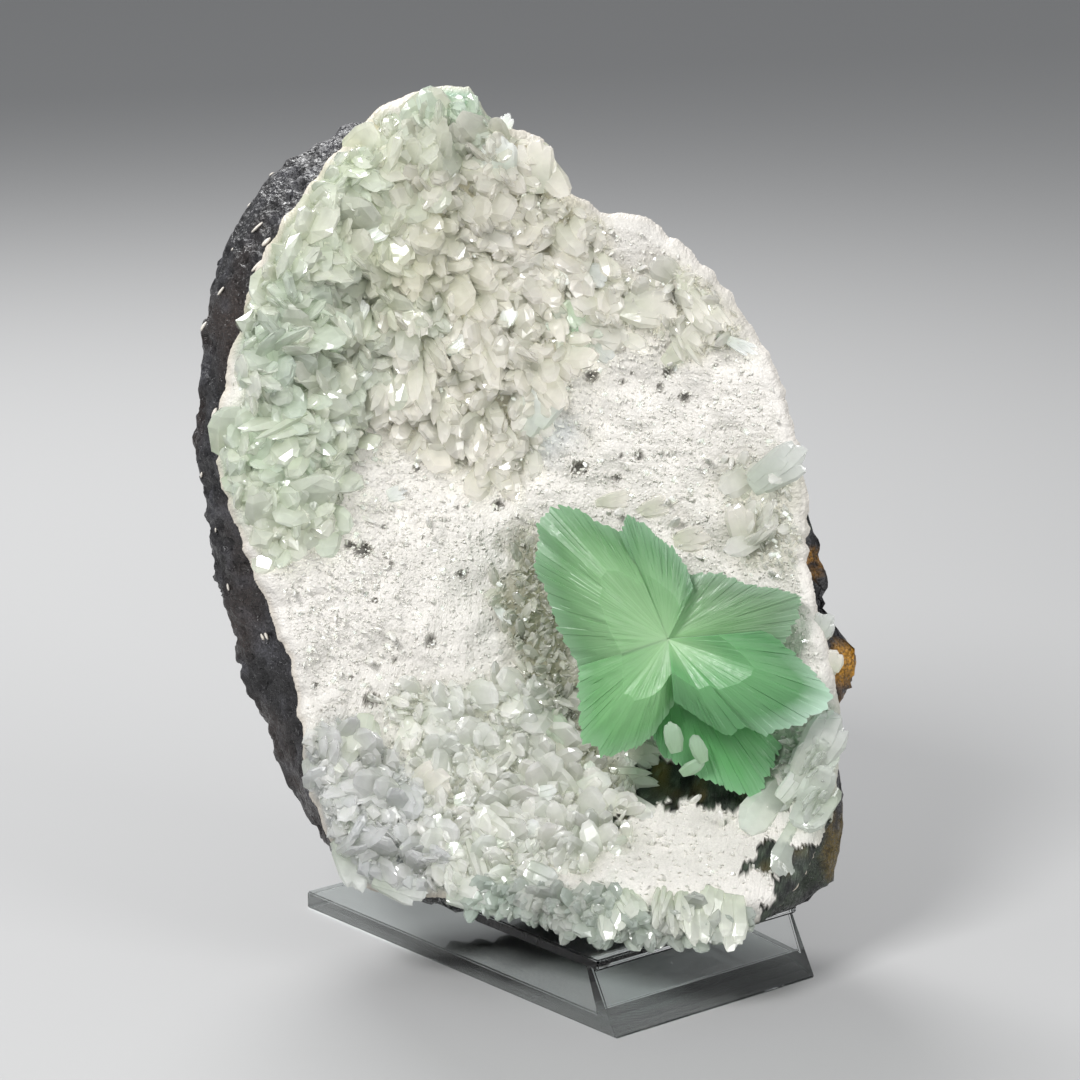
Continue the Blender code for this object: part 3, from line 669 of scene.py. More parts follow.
def add_tint(nodes, links, shader, factor):
    """Colour from the mesh's tint, times a factor that breaks it up."""
    tint = nodes.new("ShaderNodeVertexColor")
    tint.layer_name = "tint"
    mix = nodes.new("ShaderNodeMix")
    mix.data_type = "RGBA"
    mix.blend_type = "MULTIPLY"
    mix.inputs["Factor"].default_value = 1.0
    links.new(tint.outputs["Color"], mix.inputs["A"])
    links.new(factor, mix.inputs["B"])
    links.new(mix.outputs["Result"], shader.inputs["Base Color"])


def add_cells(nodes, links, scale):
    """Small packed cells all over a piece, given how many lie along a metre."""
    place = nodes.new("ShaderNodeTexCoord")
    cells = nodes.new("ShaderNodeTexVoronoi")
    cells.inputs["Scale"].default_value = scale
    links.new(place.outputs["Object"], cells.inputs["Vector"])
    return cells


def make_rock_material():
    """Dull, blistered basalt with small glossy grains."""
    material, nodes, links, shader = start_material("basalt", ROCK_DARK, 0.6)
    add_tint(nodes, links, shader, add_grain(nodes, *ROCK_TINT_GRAIN).outputs["Value"])
    add_gloss(nodes, links, shader, ROCK_GLOSS)
    coarse = add_grain(nodes, *ROCK_COARSE)
    pores = add_cells(nodes, links, ROCK_PORES)
    first = add_bump(nodes, links, shader, coarse.outputs["Height"], *ROCK_COARSE_BUMP)
    add_bump(nodes, links, shader, pores.outputs["Distance"], *ROCK_PORE_BUMP, first)
    return material


def make_rock():
    """The rock's points, faces and colours."""
    angles = rock_angles()
    under = -CRUST_THICKNESS - 2.0 * GAP
    rings = [lining_points(angles, share, under) for share in ROCK_UNDER_SHARES]
    rings += [rock_rim(angles, (row + 1) / ROCK_RIM_ROWS, under) for row in range(ROCK_RIM_ROWS)]
    for row in range(ROCK_BACK_ROWS):
        turn = (row + 0.6) / (ROCK_BACK_ROWS + 0.4) * math.pi / 2.0
        rings.append(rock_back(angles, math.cos(turn) ** ROCK_BACK_SPACING))
    middle = np.array((*FACE_MIDDLE, 0.0))
    front = middle + (0.0, 0.0, relief(*FACE_MIDDLE) + under)
    back = roughened(break_flat(np.array([middle + (0.0, 0.0, BACK_MIDDLE - BASALT_DEPTH)])), 1.0)
    points = np.vstack([front[None, :]] + rings + [back])
    first = 1 + len(ROCK_UNDER_SHARES) * ROCK_COLUMNS
    outward = from_middle(points)
    rough = sum(cell_field(points, size, seed + 1) * height
                for seed, (size, height) in enumerate(ROUGH_SIZES))
    rough[:first] = 0.0
    points = points + outward * rough[:, None]
    points, sunk = burst_vesicles(points, first, outward, VESICLE_COUNT, VESICLE_RADII, 5)
    tint = mottled(painted(ROCK_DARK, len(points)), points, ROCK_BLOTCHES)
    for place, radius, colour in ROCK_PATCHES:
        away = np.linalg.norm(points - np.array(place), axis=1) / radius
        ragged = 1.3 - away + 0.5 * cell_field(points, 2.0, 23)
        tint = mixed_colour(tint, colour, ragged * 2.0)
    # Painted shade: each burst blister darkened by its depth
    tint = tint * (1.0 - VESICLE_PAINTED_SHADE * np.minimum(sunk, 1.0))[:, None]
    return points, ring_faces(len(rings), ROCK_COLUMNS), tint


rock_points, rock_faces, rock_tint = make_rock()
rock_material = make_rock_material()
rock = make_piece("basalt_rock", rock_points, rock_faces, rock_material, "basalt_matrix",
                  rock_tint, smooth=True)


# White fillings in the basalt
# Gas bubbles that filled with white zeolite: small rounded beans set flush in the rind, a few
# long ones beside the crust's edge, the rest scattered over the back. One piece with the rock.

BEAN_RINGS = 5
BEAN_SIDES = 10
BEAN_COUNT = 70
BEAN_LENGTHS = (0.35, 1.3)
BEAN_WIDTHS = (0.5, 0.9)
BEAN_THICKNESS = 0.45
BEAN_COLOUR = srgb(222, 216, 206)
CHALK = (0.4, 4.0, 0.35, 0.75)
CHALK_BUMP = (0.15, 0.6)
# Fillings placed singly: pixel in the photograph, length and width
LONG_BEANS = (
    ((257.0, 227.0), 1.5, 0.6),
    ((266.0, 242.0), 1.1, 0.95),
    ((257.0, 266.0), 1.7, 0.75),
    ((247.0, 300.0), 0.5, 0.4),
    ((216.0, 530.0), 0.5, 0.4),
    ((232.0, 250.0), 0.45, 0.4),
)
PICTURE_MIDDLE = 540.0
PICTURE_FOCUS = 3898.0
FACE_DISTANCE = 682.0


def seen_at(points):
    """Where points of the specimen fall in the photograph, in pixels."""
    scale = PICTURE_FOCUS / (FACE_DISTANCE - points[:, 2])
    return PICTURE_MIDDLE + points[:, 0] * scale, PICTURE_MIDDLE - points[:, 1] * scale


def on_face(across, down):
    """Where a pixel of the photograph falls on the plane of the face."""
    return ((across - PICTURE_MIDDLE) * FACE_DISTANCE / PICTURE_FOCUS,
            (PICTURE_MIDDLE - down) * FACE_DISTANCE / PICTURE_FOCUS)


def bean(middle, normal, along, length, width):
    """Points and faces of one bean that stands a little proud of the rock."""
    normal = normal / np.linalg.norm(normal)
    along = along - normal * (along @ normal)
    along /= np.linalg.norm(along)
    side = np.cross(normal, along)
    rings = []
    for row in range(1, BEAN_RINGS + 1):
        turn = math.pi * row / (BEAN_RINGS + 1)
        angles = np.arange(BEAN_SIDES) * math.tau / BEAN_SIDES
        reach = math.sin(turn)
        rings.append(middle + normal * (BEAN_THICKNESS * width * math.cos(turn))
                     + np.outer(np.cos(angles) * reach * length, along)
                     + np.outer(np.sin(angles) * reach * width, side))
    top = middle + normal * BEAN_THICKNESS * width
    low = middle - normal * BEAN_THICKNESS * width
    points = np.vstack([top[None, :]] + rings + [low[None, :]])
    return points, ring_faces(BEAN_RINGS, BEAN_SIDES)


def joined(parts):
    """Join parts into one: their points, faces and, where they have them, colours."""
    faces = []
    count = 0
    for part in parts:
        faces += [[count + index for index in face] for face in part[1]]
        count += len(part[0])
    points, _, *colours = zip(*parts)
    return np.vstack(points), faces, *(np.vstack(rows) for rows in colours)


def make_beans():
    """All the white fillings, each set on the rock's surface."""
    draw = random.Random(9)
    across, down = seen_at(rock_points)
    first = 1 + len(ROCK_UNDER_SHARES) * ROCK_COLUMNS
    shown = first + np.arange((ROCK_RIM_ROWS - 1) * ROCK_COLUMNS)
    middle = np.array((*FACE_MIDDLE, BACK_MIDDLE))
    parts = []
    for (px, py), length, width in LONG_BEANS:
        nearest = shown[np.argmin(np.hypot(across[shown] - px, down[shown] - py))]
        place = rock_points[nearest]
        parts.append(bean(place, place - middle, np.array((0.35, 1.0, 0.2)), length, width))
    for _ in range(BEAN_COUNT):
        place = rock_points[draw.randrange(first, len(rock_points))]
        along = np.array([draw.uniform(-1.0, 1.0) for _ in range(3)])
        length = draw.uniform(*BEAN_LENGTHS)
        parts.append(bean(place, place - middle, along, length, length * draw.uniform(*BEAN_WIDTHS)))
    return joined(parts)


def make_filling_material():
    """Chalky white zeolite."""
    material, nodes, links, shader = start_material("white_filling", BEAN_COLOUR, 0.55)
    chalk = add_gloss(nodes, links, shader, CHALK)
    add_bump(nodes, links, shader, chalk.outputs["Height"], *CHALK_BUMP)
    return material


bean_points, bean_faces = make_beans()
make_piece("white_fillings", bean_points, bean_faces, make_filling_material(), "basalt_matrix",
           smooth=True)


# Druse floor
# The white lining of the hollow: millions of tiny crystals grown into a knobbly sugar-like crust
# with small pits, darkened inside by painted shade, broken off all round in a jagged cream-coloured edge.

FLOOR_CELLS = 292
FLOOR_ROLL_START = 0.94
FLOOR_ROLL_DROP = 2.6
EDGE_JAG = 0.7
EDGE_MORE = 0.5
EDGE_LINE = 0.975
DRUSE_SIZE = 6.0
DRUSE_HEIGHT = 1.2
KNOBS = ((5.2, 0.8), (2.4, 0.4), (1.1, 0.18))
SUGAR_SIDEWAYS = 0.08
SUGAR_HEIGHT = 0.05
PIT_COUNT = 70
PIT_RADII = (0.22, 0.55)
PIT_PLACES = (
    ((580.0, 467.0), 1.15), ((592.0, 376.0), 0.9), ((685.0, 397.0), 0.75), ((363.0, 550.0), 1.1),
    ((350.0, 545.0), 0.7), ((372.0, 700.0), 1.1), ((462.0, 575.0), 0.7), ((498.0, 505.0), 0.8),
    ((430.0, 642.0), 0.7), ((640.0, 455.0), 0.6), ((668.0, 372.0), 0.6), ((520.0, 640.0), 0.8),
)
DRUSE_WHITE = srgb(226, 222, 216)
DRUSE_CREAM = srgb(224, 212, 194)
DRUSE_GREY = srgb(196, 193, 186)
# Colour and strength of the painted shade inside the pits
PIT_PAINTED_SHADE_COLOUR = srgb(66, 64, 54)
PIT_PAINTED_SHADE = 0.65
PIT_DEPTH = 1.7
DRUSE_BLOTCHES = ((DRUSE_GREY, 7.0, 51, 0.5, 0.12), (DRUSE_GREY, 1.2, 52, 0.3, 0.0))
# Dark colour of the windows: weathered bare rock at the lower right, painted shadow under the rosette
ROCK_AND_SHADOW_DARK = srgb(38, 46, 38)
ROCK_AND_SHADOW_BLOTCHES = (
    (srgb(92, 78, 34), 3.4, 91, 1.4, 0.0),
    (srgb(14, 16, 15), 2.2, 92, 1.8, 0.0),
    (srgb(96, 108, 92), 0.9, 93, 0.8, 0.0),
)
# Rings of the broken edge and the underside: height, share of the edge's radius and raggedness
SKIRT = (
    (-4.1, 1.004, 0.8),
    (-CRUST_THICKNESS - 0.5, 0.985, 1.0),
    (-CRUST_THICKNESS, 0.85, 0.0),
    (-CRUST_THICKNESS, 0.6, 0.0),
    (-CRUST_THICKNESS, 0.3, 0.0),
)
DRUSE_TINT_GRAIN = (0.35, 4.0, 0.88, 1.03)
DRUSE_GLOSS = (0.3, 2.0, 0.25, 0.8)
DRUSE_CELLS = 3200.0
DRUSE_BUMP = (0.1, 0.6)

# Beds of blades on the floor: outline across and up the face, ground colour, two crystal colours
BEDS = {
    "green_bank": (
        ((-30.5, 74), (-17.5, 79), (-10.5, 77), (-12, 68), (-21, 61), (-24.5, 49), (-25.5, 36.5),
         (-29.5, 24.5), (-34, 12), (-38.5, -1), (-45.5, -3.5), (-52.5, 7), (-55, 17.5),
         (-52.5, 31.5), (-48.5, 45.5), (-42, 57.5), (-36, 66.5)),
        srgb(150, 158, 132), srgb(186, 195, 175), srgb(204, 202, 184)),
    "pale_bank": (
        ((-10.5, 77), (-6, 71.5), (1, 70), (3.5, 61), (10.5, 56.5), (9.5, 49), (17.5, 43.5),
         (10.5, 36.5), (3.5, 34), (1, 21), (-3.5, 12), (-12, 12), (-19, 15.5), (-28, 21),
         (-29.5, 24.5), (-25.5, 36.5), (-24.5, 49), (-21, 61), (-12, 68)),
        srgb(166, 162, 144), srgb(202, 198, 184), srgb(214, 207, 196)),
    "right_bank": (
        ((9.5, 49), (17.5, 44.5), (24.5, 49), (31.5, 43.5), (36, 36.5), (34, 33), (24.5, 34),
         (17.5, 36), (10.5, 36.5)),
        srgb(192, 188, 176), srgb(216, 212, 202), srgb(206, 202, 190)),
    "right_rim": (
        ((33, 12), (45.5, 17.5), (47.5, 10.5), (45.5, -3.5), (38.5, -7), (31.5, 0)),
        srgb(196, 193, 182), srgb(210, 208, 202), srgb(202, 200, 188)),
    "right_foot": (
        ((42.5, -28), (52, -26), (53.5, -35), (53, -50.5), (45.5, -50.5), (42, -45.5)),
        srgb(160, 168, 154), srgb(188, 194, 184), srgb(176, 186, 172)),
    "grey_foot": (
        ((-48.5, -30), (-42, -35), (-31.5, -33), (-21, -42), (-17.5, -54), (-17.5, -63),
         (-28, -63), (-35, -57.5), (-42, -43.5)),
        srgb(158, 160, 158), srgb(194, 196, 197), srgb(222, 220, 217)),
    "foot_bank": (
        ((-21, -42), (-28, -28), (-12, -24.5), (3.5, -26), (10.5, -42), (17.5, -45.5), (14, -54),
         (3.5, -57.5), (-7, -59.5), (-17.5, -63), (-17.5, -54)),
        srgb(180, 180, 168), srgb(208, 210, 202), srgb(228, 225, 219)),
    # Painted shade: the ledge lip faces downward, away from the lamps, so its ground and crystal colours are
    # darkened
    "ledge_lip": (
        ((-17.5, -60.5), (-3.5, -60), (10.5, -61.5), (24.5, -63.5), (38.5, -64), (36, -70),
         (24.5, -72), (10.5, -69), (-3.5, -68), (-10.5, -65.5), (-17.5, -65.5)),
        srgb(80, 88, 78), srgb(116, 130, 116), srgb(156, 157, 147)),
    # The rosette bed's dull olive ground is partly the druse's own olive colour and partly painted shadow
    # cast by the fans
    "rosette_bed": (
        ((-8.5, -8.5), (-1.5, 4), (2.5, -5.5), (7, -24.5), (7, -36.5), (17.5, -43.5), (10.5, -45.5),
         (3.5, -33.5), (-5, -21)),
        srgb(150, 148, 128), srgb(188, 188, 170), srgb(206, 203, 190)),
}
# Where dark rock shows and how far below the druse: bare and broken at the lower right, and in
# the hollow under the rosette a dark patch that is painted shadow cast by the fans
ROCK_AND_SHADOW_WINDOWS = (
    (((35, -70), (37.5, -65.5), (38, -62.5), (40.5, -60.5), (41, -58), (37, -56.5), (34, -57.5),
      (37, -53.5), (44, -52.5), (48.5, -53.5), (50, -51.5), (50.5, -49), (54, -50), (56, -58),
      (46, -70)), 0.9),
    # Painted shadow in the hollow under the rosette, sunk a little below the druse
    (((17, -39), (28, -39), (38, -42), (43, -44), (42, -46), (35, -46.5), (28, -46), (23, -46),
      (19, -48.5), (12.5, -50.5), (11.5, -49), (16, -46.5)), 1.6),
)
BED_WANDER = 2.4
BED_SOFTNESS = ((0.0, 0.0), (2.2, 0.6), (-1.8, 1.4), (0.6, -2.2), (-1.2, -1.2), (1.4, 1.8))

# Places with a colour of their own, and a few of painted shadow beside and under the rosette: across, up,
# radius, colour, strength
TINT_SPOTS = (
    (-15, 77, 5, srgb(126, 176, 152), 0.7),
    (-11.5, 71, 4, srgb(110, 158, 130), 0.6),
    (-24, 55, 8, srgb(182, 184, 142), 0.45),
    (-21, 46, 6, srgb(178, 172, 128), 0.35),
    (-31, 62, 6, srgb(170, 196, 164), 0.4),
    (-47, 31, 6.5, srgb(112, 156, 132), 0.5),
    (-41, 42, 5, srgb(140, 178, 150), 0.4),
    (-46, 14, 9, srgb(164, 194, 162), 0.45),
    (-20, 40, 4, srgb(138, 172, 146), 0.45),
    (6.5, 39, 2.5, srgb(138, 190, 162), 0.6),
    (-27, 32, 3.5, srgb(110, 134, 116), 0.4),
    (2, 18.5, 4, srgb(204, 208, 212), 0.6),
    (-8, -63, 5, srgb(146, 184, 160), 0.5),
    (12, -66, 6, srgb(150, 174, 154), 0.5),
    (27, -69, 5, srgb(140, 166, 146), 0.5),
    (-27, -60, 8, srgb(104, 110, 118), 0.6),
    (-36, -54, 5, srgb(120, 124, 128), 0.5),
    # Painted shadow in the hollow under the rosette
    (9, -50, 3, srgb(96, 108, 84), 0.6),
    (-20, 67, 13, srgb(150, 148, 124), 0.4),
    (-8, 60, 10, srgb(158, 150, 128), 0.35),
    (-26, 48, 12, srgb(160, 154, 118), 0.25),
    # These four: partly olive druse, partly painted shadow cast by the fans along the rosette's left edge
    (1, -4, 4, srgb(118, 120, 96), 0.65),
    (2.5, -16, 4, srgb(110, 114, 88), 0.7),
    (4.5, -27, 4, srgb(120, 122, 96), 0.7),
    (8, -38, 4.5, srgb(150, 150, 122), 0.6),
    (-54, 28, 5, srgb(236, 232, 224), 0.9),
    (-44.5, -31.5, 4, srgb(236, 232, 224), 0.9),
    (-30, 70, 3, srgb(222, 206, 182), 0.6),
)
BARE_SPOTS = ((-54, 28, 5.5), (-44.5, -31.5, 4.5))


def inside(outline, x, y):
    """Which places lie inside a closed outline."""
    result = np.zeros(len(x), bool)
    for (x0, y0), (x1, y1) in zip(outline, outline[1:] + outline[:1]):
        crosses = (y0 > y) != (y1 > y)
        if y1 != y0:
            result ^= crosses & (x < (x1 - x0) * (y - y0) / (y1 - y0) + x0)
    return result


def rock_and_shadow_depth(x, y):
    """How far the windows lie below the druse at each place, 0 where the druse covers it: bare rock, and a
    patch of painted shadow under the rosette.
    """
    solid = np.column_stack((x, y, relief(x, y)))
    wander = 1.5 * cell_field(solid, 2.6, 57) + 0.8 * cell_field(solid, 1.1, 58)
    return sum(inside(outline, x + wander, y - wander) * step for outline, step in ROCK_AND_SHADOW_WINDOWS)


def on_plane(x, y):
    """Places as points on the plane of the face."""
    return np.column_stack((x, y, np.zeros(len(x))))


def bedded(x, y, colours):
    """Colours moved to each bed's ground colour, with a soft and wandering border."""
    wander = BED_WANDER * cell_field(on_plane(x, y), 4.0, 53)
    for outline, ground, _, _ in BEDS.values():
        share = sum(inside(outline, x + wander + across, y - wander + up).astype(float)
                    for across, up in BED_SOFTNESS) / len(BED_SOFTNESS)
        colours = mixed_colour(colours, ground, share)
    return colours


def spotted(x, y, colours, seed, part=1.0):
    """Colours moved a part of the way towards those of the tinted places."""
    ragged = 0.35 * cell_field(on_plane(x, y), 2.4, seed)
    for x0, y0, radius, colour, strength in TINT_SPOTS:
        away = np.hypot(x - x0, y - y0) / radius + ragged
        colours = mixed_colour(colours, colour, part * strength * np.clip(1.5 - away, 0.0, 1.0))
    return colours


def floor_grid():
    """Even grid over the round floor: share of the way out, and angle, of each point."""
    steps = np.linspace(-1.0, 1.0, FLOOR_CELLS + 1)
    a, b = [values.ravel() for values in np.meshgrid(steps, steps, indexing="ij")]
    wide = np.abs(a) > np.abs(b)
    reach = np.where(wide, a, b)
    safe = np.where(reach == 0.0, 1.0, reach)
    turn = np.where(wide, math.pi / 4.0 * b / safe, math.pi / 2.0 - math.pi / 4.0 * a / safe)
    x = reach * np.cos(turn)
    y = reach * np.sin(turn)
    return np.hypot(x, y), np.arctan2(y, x)


def floor_height(x, y, share):
    """Height of the lumpy floor, rolled over at its edge."""
    flat = on_plane(x, y)
    height = relief(x, y) + field(flat, DRUSE_SIZE) * DRUSE_HEIGHT
    for seed, (size, lift) in enumerate(KNOBS):
        height += np.abs(cell_field(flat, size, 31 + seed)) * lift - lift * 0.35
    roll = np.clip((share - FLOOR_ROLL_START) / (1.0 - FLOOR_ROLL_START), 0.0, 1.0)
    return height - FLOOR_ROLL_DROP * roll ** 2


def floor_border():
    """Indices of the grid's border, in order round the floor."""
    n = FLOOR_CELLS
    side = n + 1
    return ([i * side for i in range(n)] + [n * side + j for j in range(n)]
            + [i * side + n for i in range(n, 0, -1)] + list(range(n, 0, -1)))


def grid_faces(index):
    """Faces between the neighbours of a grid of point numbers."""
    return np.column_stack([part.ravel() for part in (
        index[:-1, :-1], index[1:, :-1], index[1:, 1:], index[:-1, 1:])]).tolist()


def make_floor():
    """The lining's points, faces and colours, closed by a jagged edge and an underside."""
    draw = np.random.default_rng(3)
    share, angle = floor_grid()
    radius, _ = edge_at(crust_edge, angle)
    ragged = cell_field(np.column_stack((np.cos(angle), np.sin(angle), share * 0.0)) * 60.0, 2.2, 41)
    radius = radius + (EDGE_MORE + EDGE_JAG * ragged) * np.clip((share - 0.8) / 0.2, 0.0, 1.0)
    x, y = round_face(angle, share * radius)
    points = np.column_stack((x, y, floor_height(x, y, share)))
    points[:, :2] += draw.uniform(-SUGAR_SIDEWAYS, SUGAR_SIDEWAYS, (len(x), 2))
    points[:, 2] += draw.uniform(-SUGAR_HEIGHT, SUGAR_HEIGHT, len(x))

    tint = mottled(painted(DRUSE_WHITE, len(x)), on_plane(x, y), DRUSE_BLOTCHES)
    tint = spotted(x, y, bedded(x, y, tint), 54)
    edge_line = np.clip((share - EDGE_LINE) / (1.0 - EDGE_LINE), 0.0, 1.0)
    tint = mixed_colour(tint, DRUSE_CREAM, edge_line * np.clip(-x / 25.0, 0.2, 0.6))
    shows = rock_and_shadow_depth(x, y)
    # Bare rock, and painted shadow under the rosette, wherever a window lies
    rock_and_shadow_tint = mottled(painted(ROCK_AND_SHADOW_DARK, len(x)), points, ROCK_AND_SHADOW_BLOTCHES)
    tint = np.where(shows[:, None] > 0.0, rock_and_shadow_tint, tint)
    points[:, 2] -= shows

    pits = [(*on_face(*pixel), size) for pixel, size in PIT_PLACES]
    for _ in range(PIT_COUNT):
        turn = draw.uniform(0.0, math.tau)
        edge, _ = edge_at(crust_edge, turn)
        away = float(edge) * 0.93 * math.sqrt(draw.uniform())
        size = between(PIT_RADII, draw.uniform() ** 2.5)
        pits.append((FACE_MIDDLE[0] + away * math.cos(turn), FACE_MIDDLE[1] + away * math.sin(turn), size))
    for x0, y0, size in pits:
        near = np.nonzero((np.abs(x - x0) < 2.0 * size) & (np.abs(y - y0) < 2.0 * size))[0]
        away = np.hypot(x[near] - x0, (y[near] - y0) * draw.uniform(0.8, 1.4)) / size
        away = away + draw.uniform(-0.25, 0.25, len(near))
        deep = np.clip(1.6 - away, 0.0, 1.0)
        points[near, 2] -= deep * size * PIT_DEPTH
        # Painted shade, deepest in the middle of each pit
        tint[near] = mixed_colour(tint[near], PIT_PAINTED_SHADE_COLOUR, deep * PIT_PAINTED_SHADE)

    side = FLOOR_CELLS + 1
    faces = grid_faces(np.arange(side * side).reshape(side, side))
    border = floor_border()
    around = angle[border]
    edge, _ = edge_at(crust_edge, around)
    skirt = []
    for lift, inward, jag in SKIRT:
        wide = edge * inward + jag * draw.uniform(-0.6, 0.6, len(border)) + EDGE_JAG * ragged[border] * jag
        px, py = round_face(around, wide)
        skirt.append(np.column_stack((px, py, relief(px, py) + lift)))
    low = np.array([[*FACE_MIDDLE, float(relief(*FACE_MIDDLE)) - CRUST_THICKNESS]])
    start = len(points)
    count = len(border)
    rings = [np.array(border)] + [start + row * count + np.arange(count) for row in range(len(skirt))]
    for upper, lower in zip(rings, rings[1:]):
        faces += np.column_stack((upper, np.roll(upper, -1), np.roll(lower, -1), lower)).tolist()
    last = rings[-1]
    end = start + len(skirt) * count
    faces += np.column_stack((last, np.roll(last, -1), np.full(count, end))).tolist()
    tint = np.vstack([tint, painted(DRUSE_CREAM, len(skirt) * count + 1)])
    return np.vstack([points] + skirt + [low]), faces, tint


def make_druse_material():
    """Sugary white druse that lets no light through, in grains from shiny to dull."""
    material, nodes, links, shader = start_material("druse", DRUSE_WHITE, 0.4, 1.53)
    add_tint(nodes, links, shader, add_grain(nodes, *DRUSE_TINT_GRAIN).outputs["Value"])
    add_gloss(nodes, links, shader, DRUSE_GLOSS)
    add_bump(nodes, links, shader, add_cells(nodes, links, DRUSE_CELLS).outputs["Distance"], *DRUSE_BUMP)
    return material


floor_points, floor_faces, floor_tint = make_floor()
druse_material = make_druse_material()
make_piece("druse_floor", floor_points, floor_faces, druse_material, "druse_crust", floor_tint)


# Crystals on the floor
# Flattened blades with chisel ends, square prisms and thin plates, crowded into beds round the
# rim, all glassy and a little milky. The grains of the druse itself are as opaque as its floor.

# Banks of the largest crystals: middle and half size, how many, length, width, thickness and lean
CRYSTAL_BANKS = (
    (-20, 66, 15, 10, 11, 10, 7, 3.2, -0.2, 0.8),
    (-40, 46, 10, 16, 12, 10, 8, 3.4, -0.7, 0.4),
    (-42, 20, 10, 16, 10, 10, 8, 3.2, -0.7, -0.1),
    (-14, 38, 18, 14, 12, 11, 6, 3.0, 0.1, -0.8),
    (22, 40, 14, 8, 5, 8, 5, 2.4, 0.2, -0.4),
    (40, 4, 5, 8, 3, 9, 6, 2.6, 0.6, 0.4),
    (-34, -44, 7, 14, 9, 10, 7, 3.4, -0.6, -0.3),
    (-10, -52, 17, 9, 12, 9, 6, 2.8, 0.1, -0.3),
    (16, -64, 26, 3, 10, 9, 6, 3.0, 0.1, -0.9),
    (48, -36, 3, 14, 5, 9, 7, 3.0, 0.7, 0.3),
)
CRYSTAL_SEED = 11
CRYSTAL_SIZES = (0.75, 1.25)
CRYSTAL_SPLAY = 0.5
CRYSTAL_RISE = (0.55, 1.0)
CRYSTAL_LIMIT = 0.95
CRYSTAL_TIP_LIMIT = 0.98
CRYSTAL_TURNED_IN = -0.4
LEDGE_LINE = -56.0
CRYSTAL_ROOT = 2.2
ROSETTE_POINT = (22.0, -17.0)
ROSETTE_ROOM = 1.1
# Fans of the rosette: outline, height at its root, middle and tip, and thickness at root and tip
FANS = {
    "upper_left": (((6.5, -22.5), (2, -14), (-1.5, -4), (-0.5, 0.5), (-1, 3.5), (1, 6.5),
                    (6, 6), (10, 3.5), (14, 2)), (11, 13, 9), (8, 3.0)),
    "upper": (((13.5, 1.5), (15, 5), (18, 3), (23, -1), (25.5, -4.5), (26.5, -8)), (11, 12, 11), (8, 3.0)),
    "upper_right": (((25.5, -5.5), (32, -5.5), (36, -7.5), (41.5, -8), (46, -9.5), (45.5, -12),
                     (43, -18)), (10, 9, 9), (8, 2.5)),
    "right": (((39, -15.5), (43, -18.5), (47.5, -22.5), (51, -26.5), (50, -29), (45.5, -32),
               (39, -34), (36, -32.5), (32, -34), (29, -32), (23, -28)), (11, 15, 13), (9, 4.0)),
    "lower_left": (((23.5, -28), (19.5, -34), (16, -36.5), (10.5, -38), (9, -36), (7, -35.5),
                    (6.5, -31), (6, -22)), (11, 13, 10), (8, 3.0)),
    "lowest": (((19, -33), (21, -38), (27.5, -41.5), (32, -43.5), (38, -46), (40, -42.5),
                (42.5, -36)), (8, 5, 4), (7, 2.5)),
}

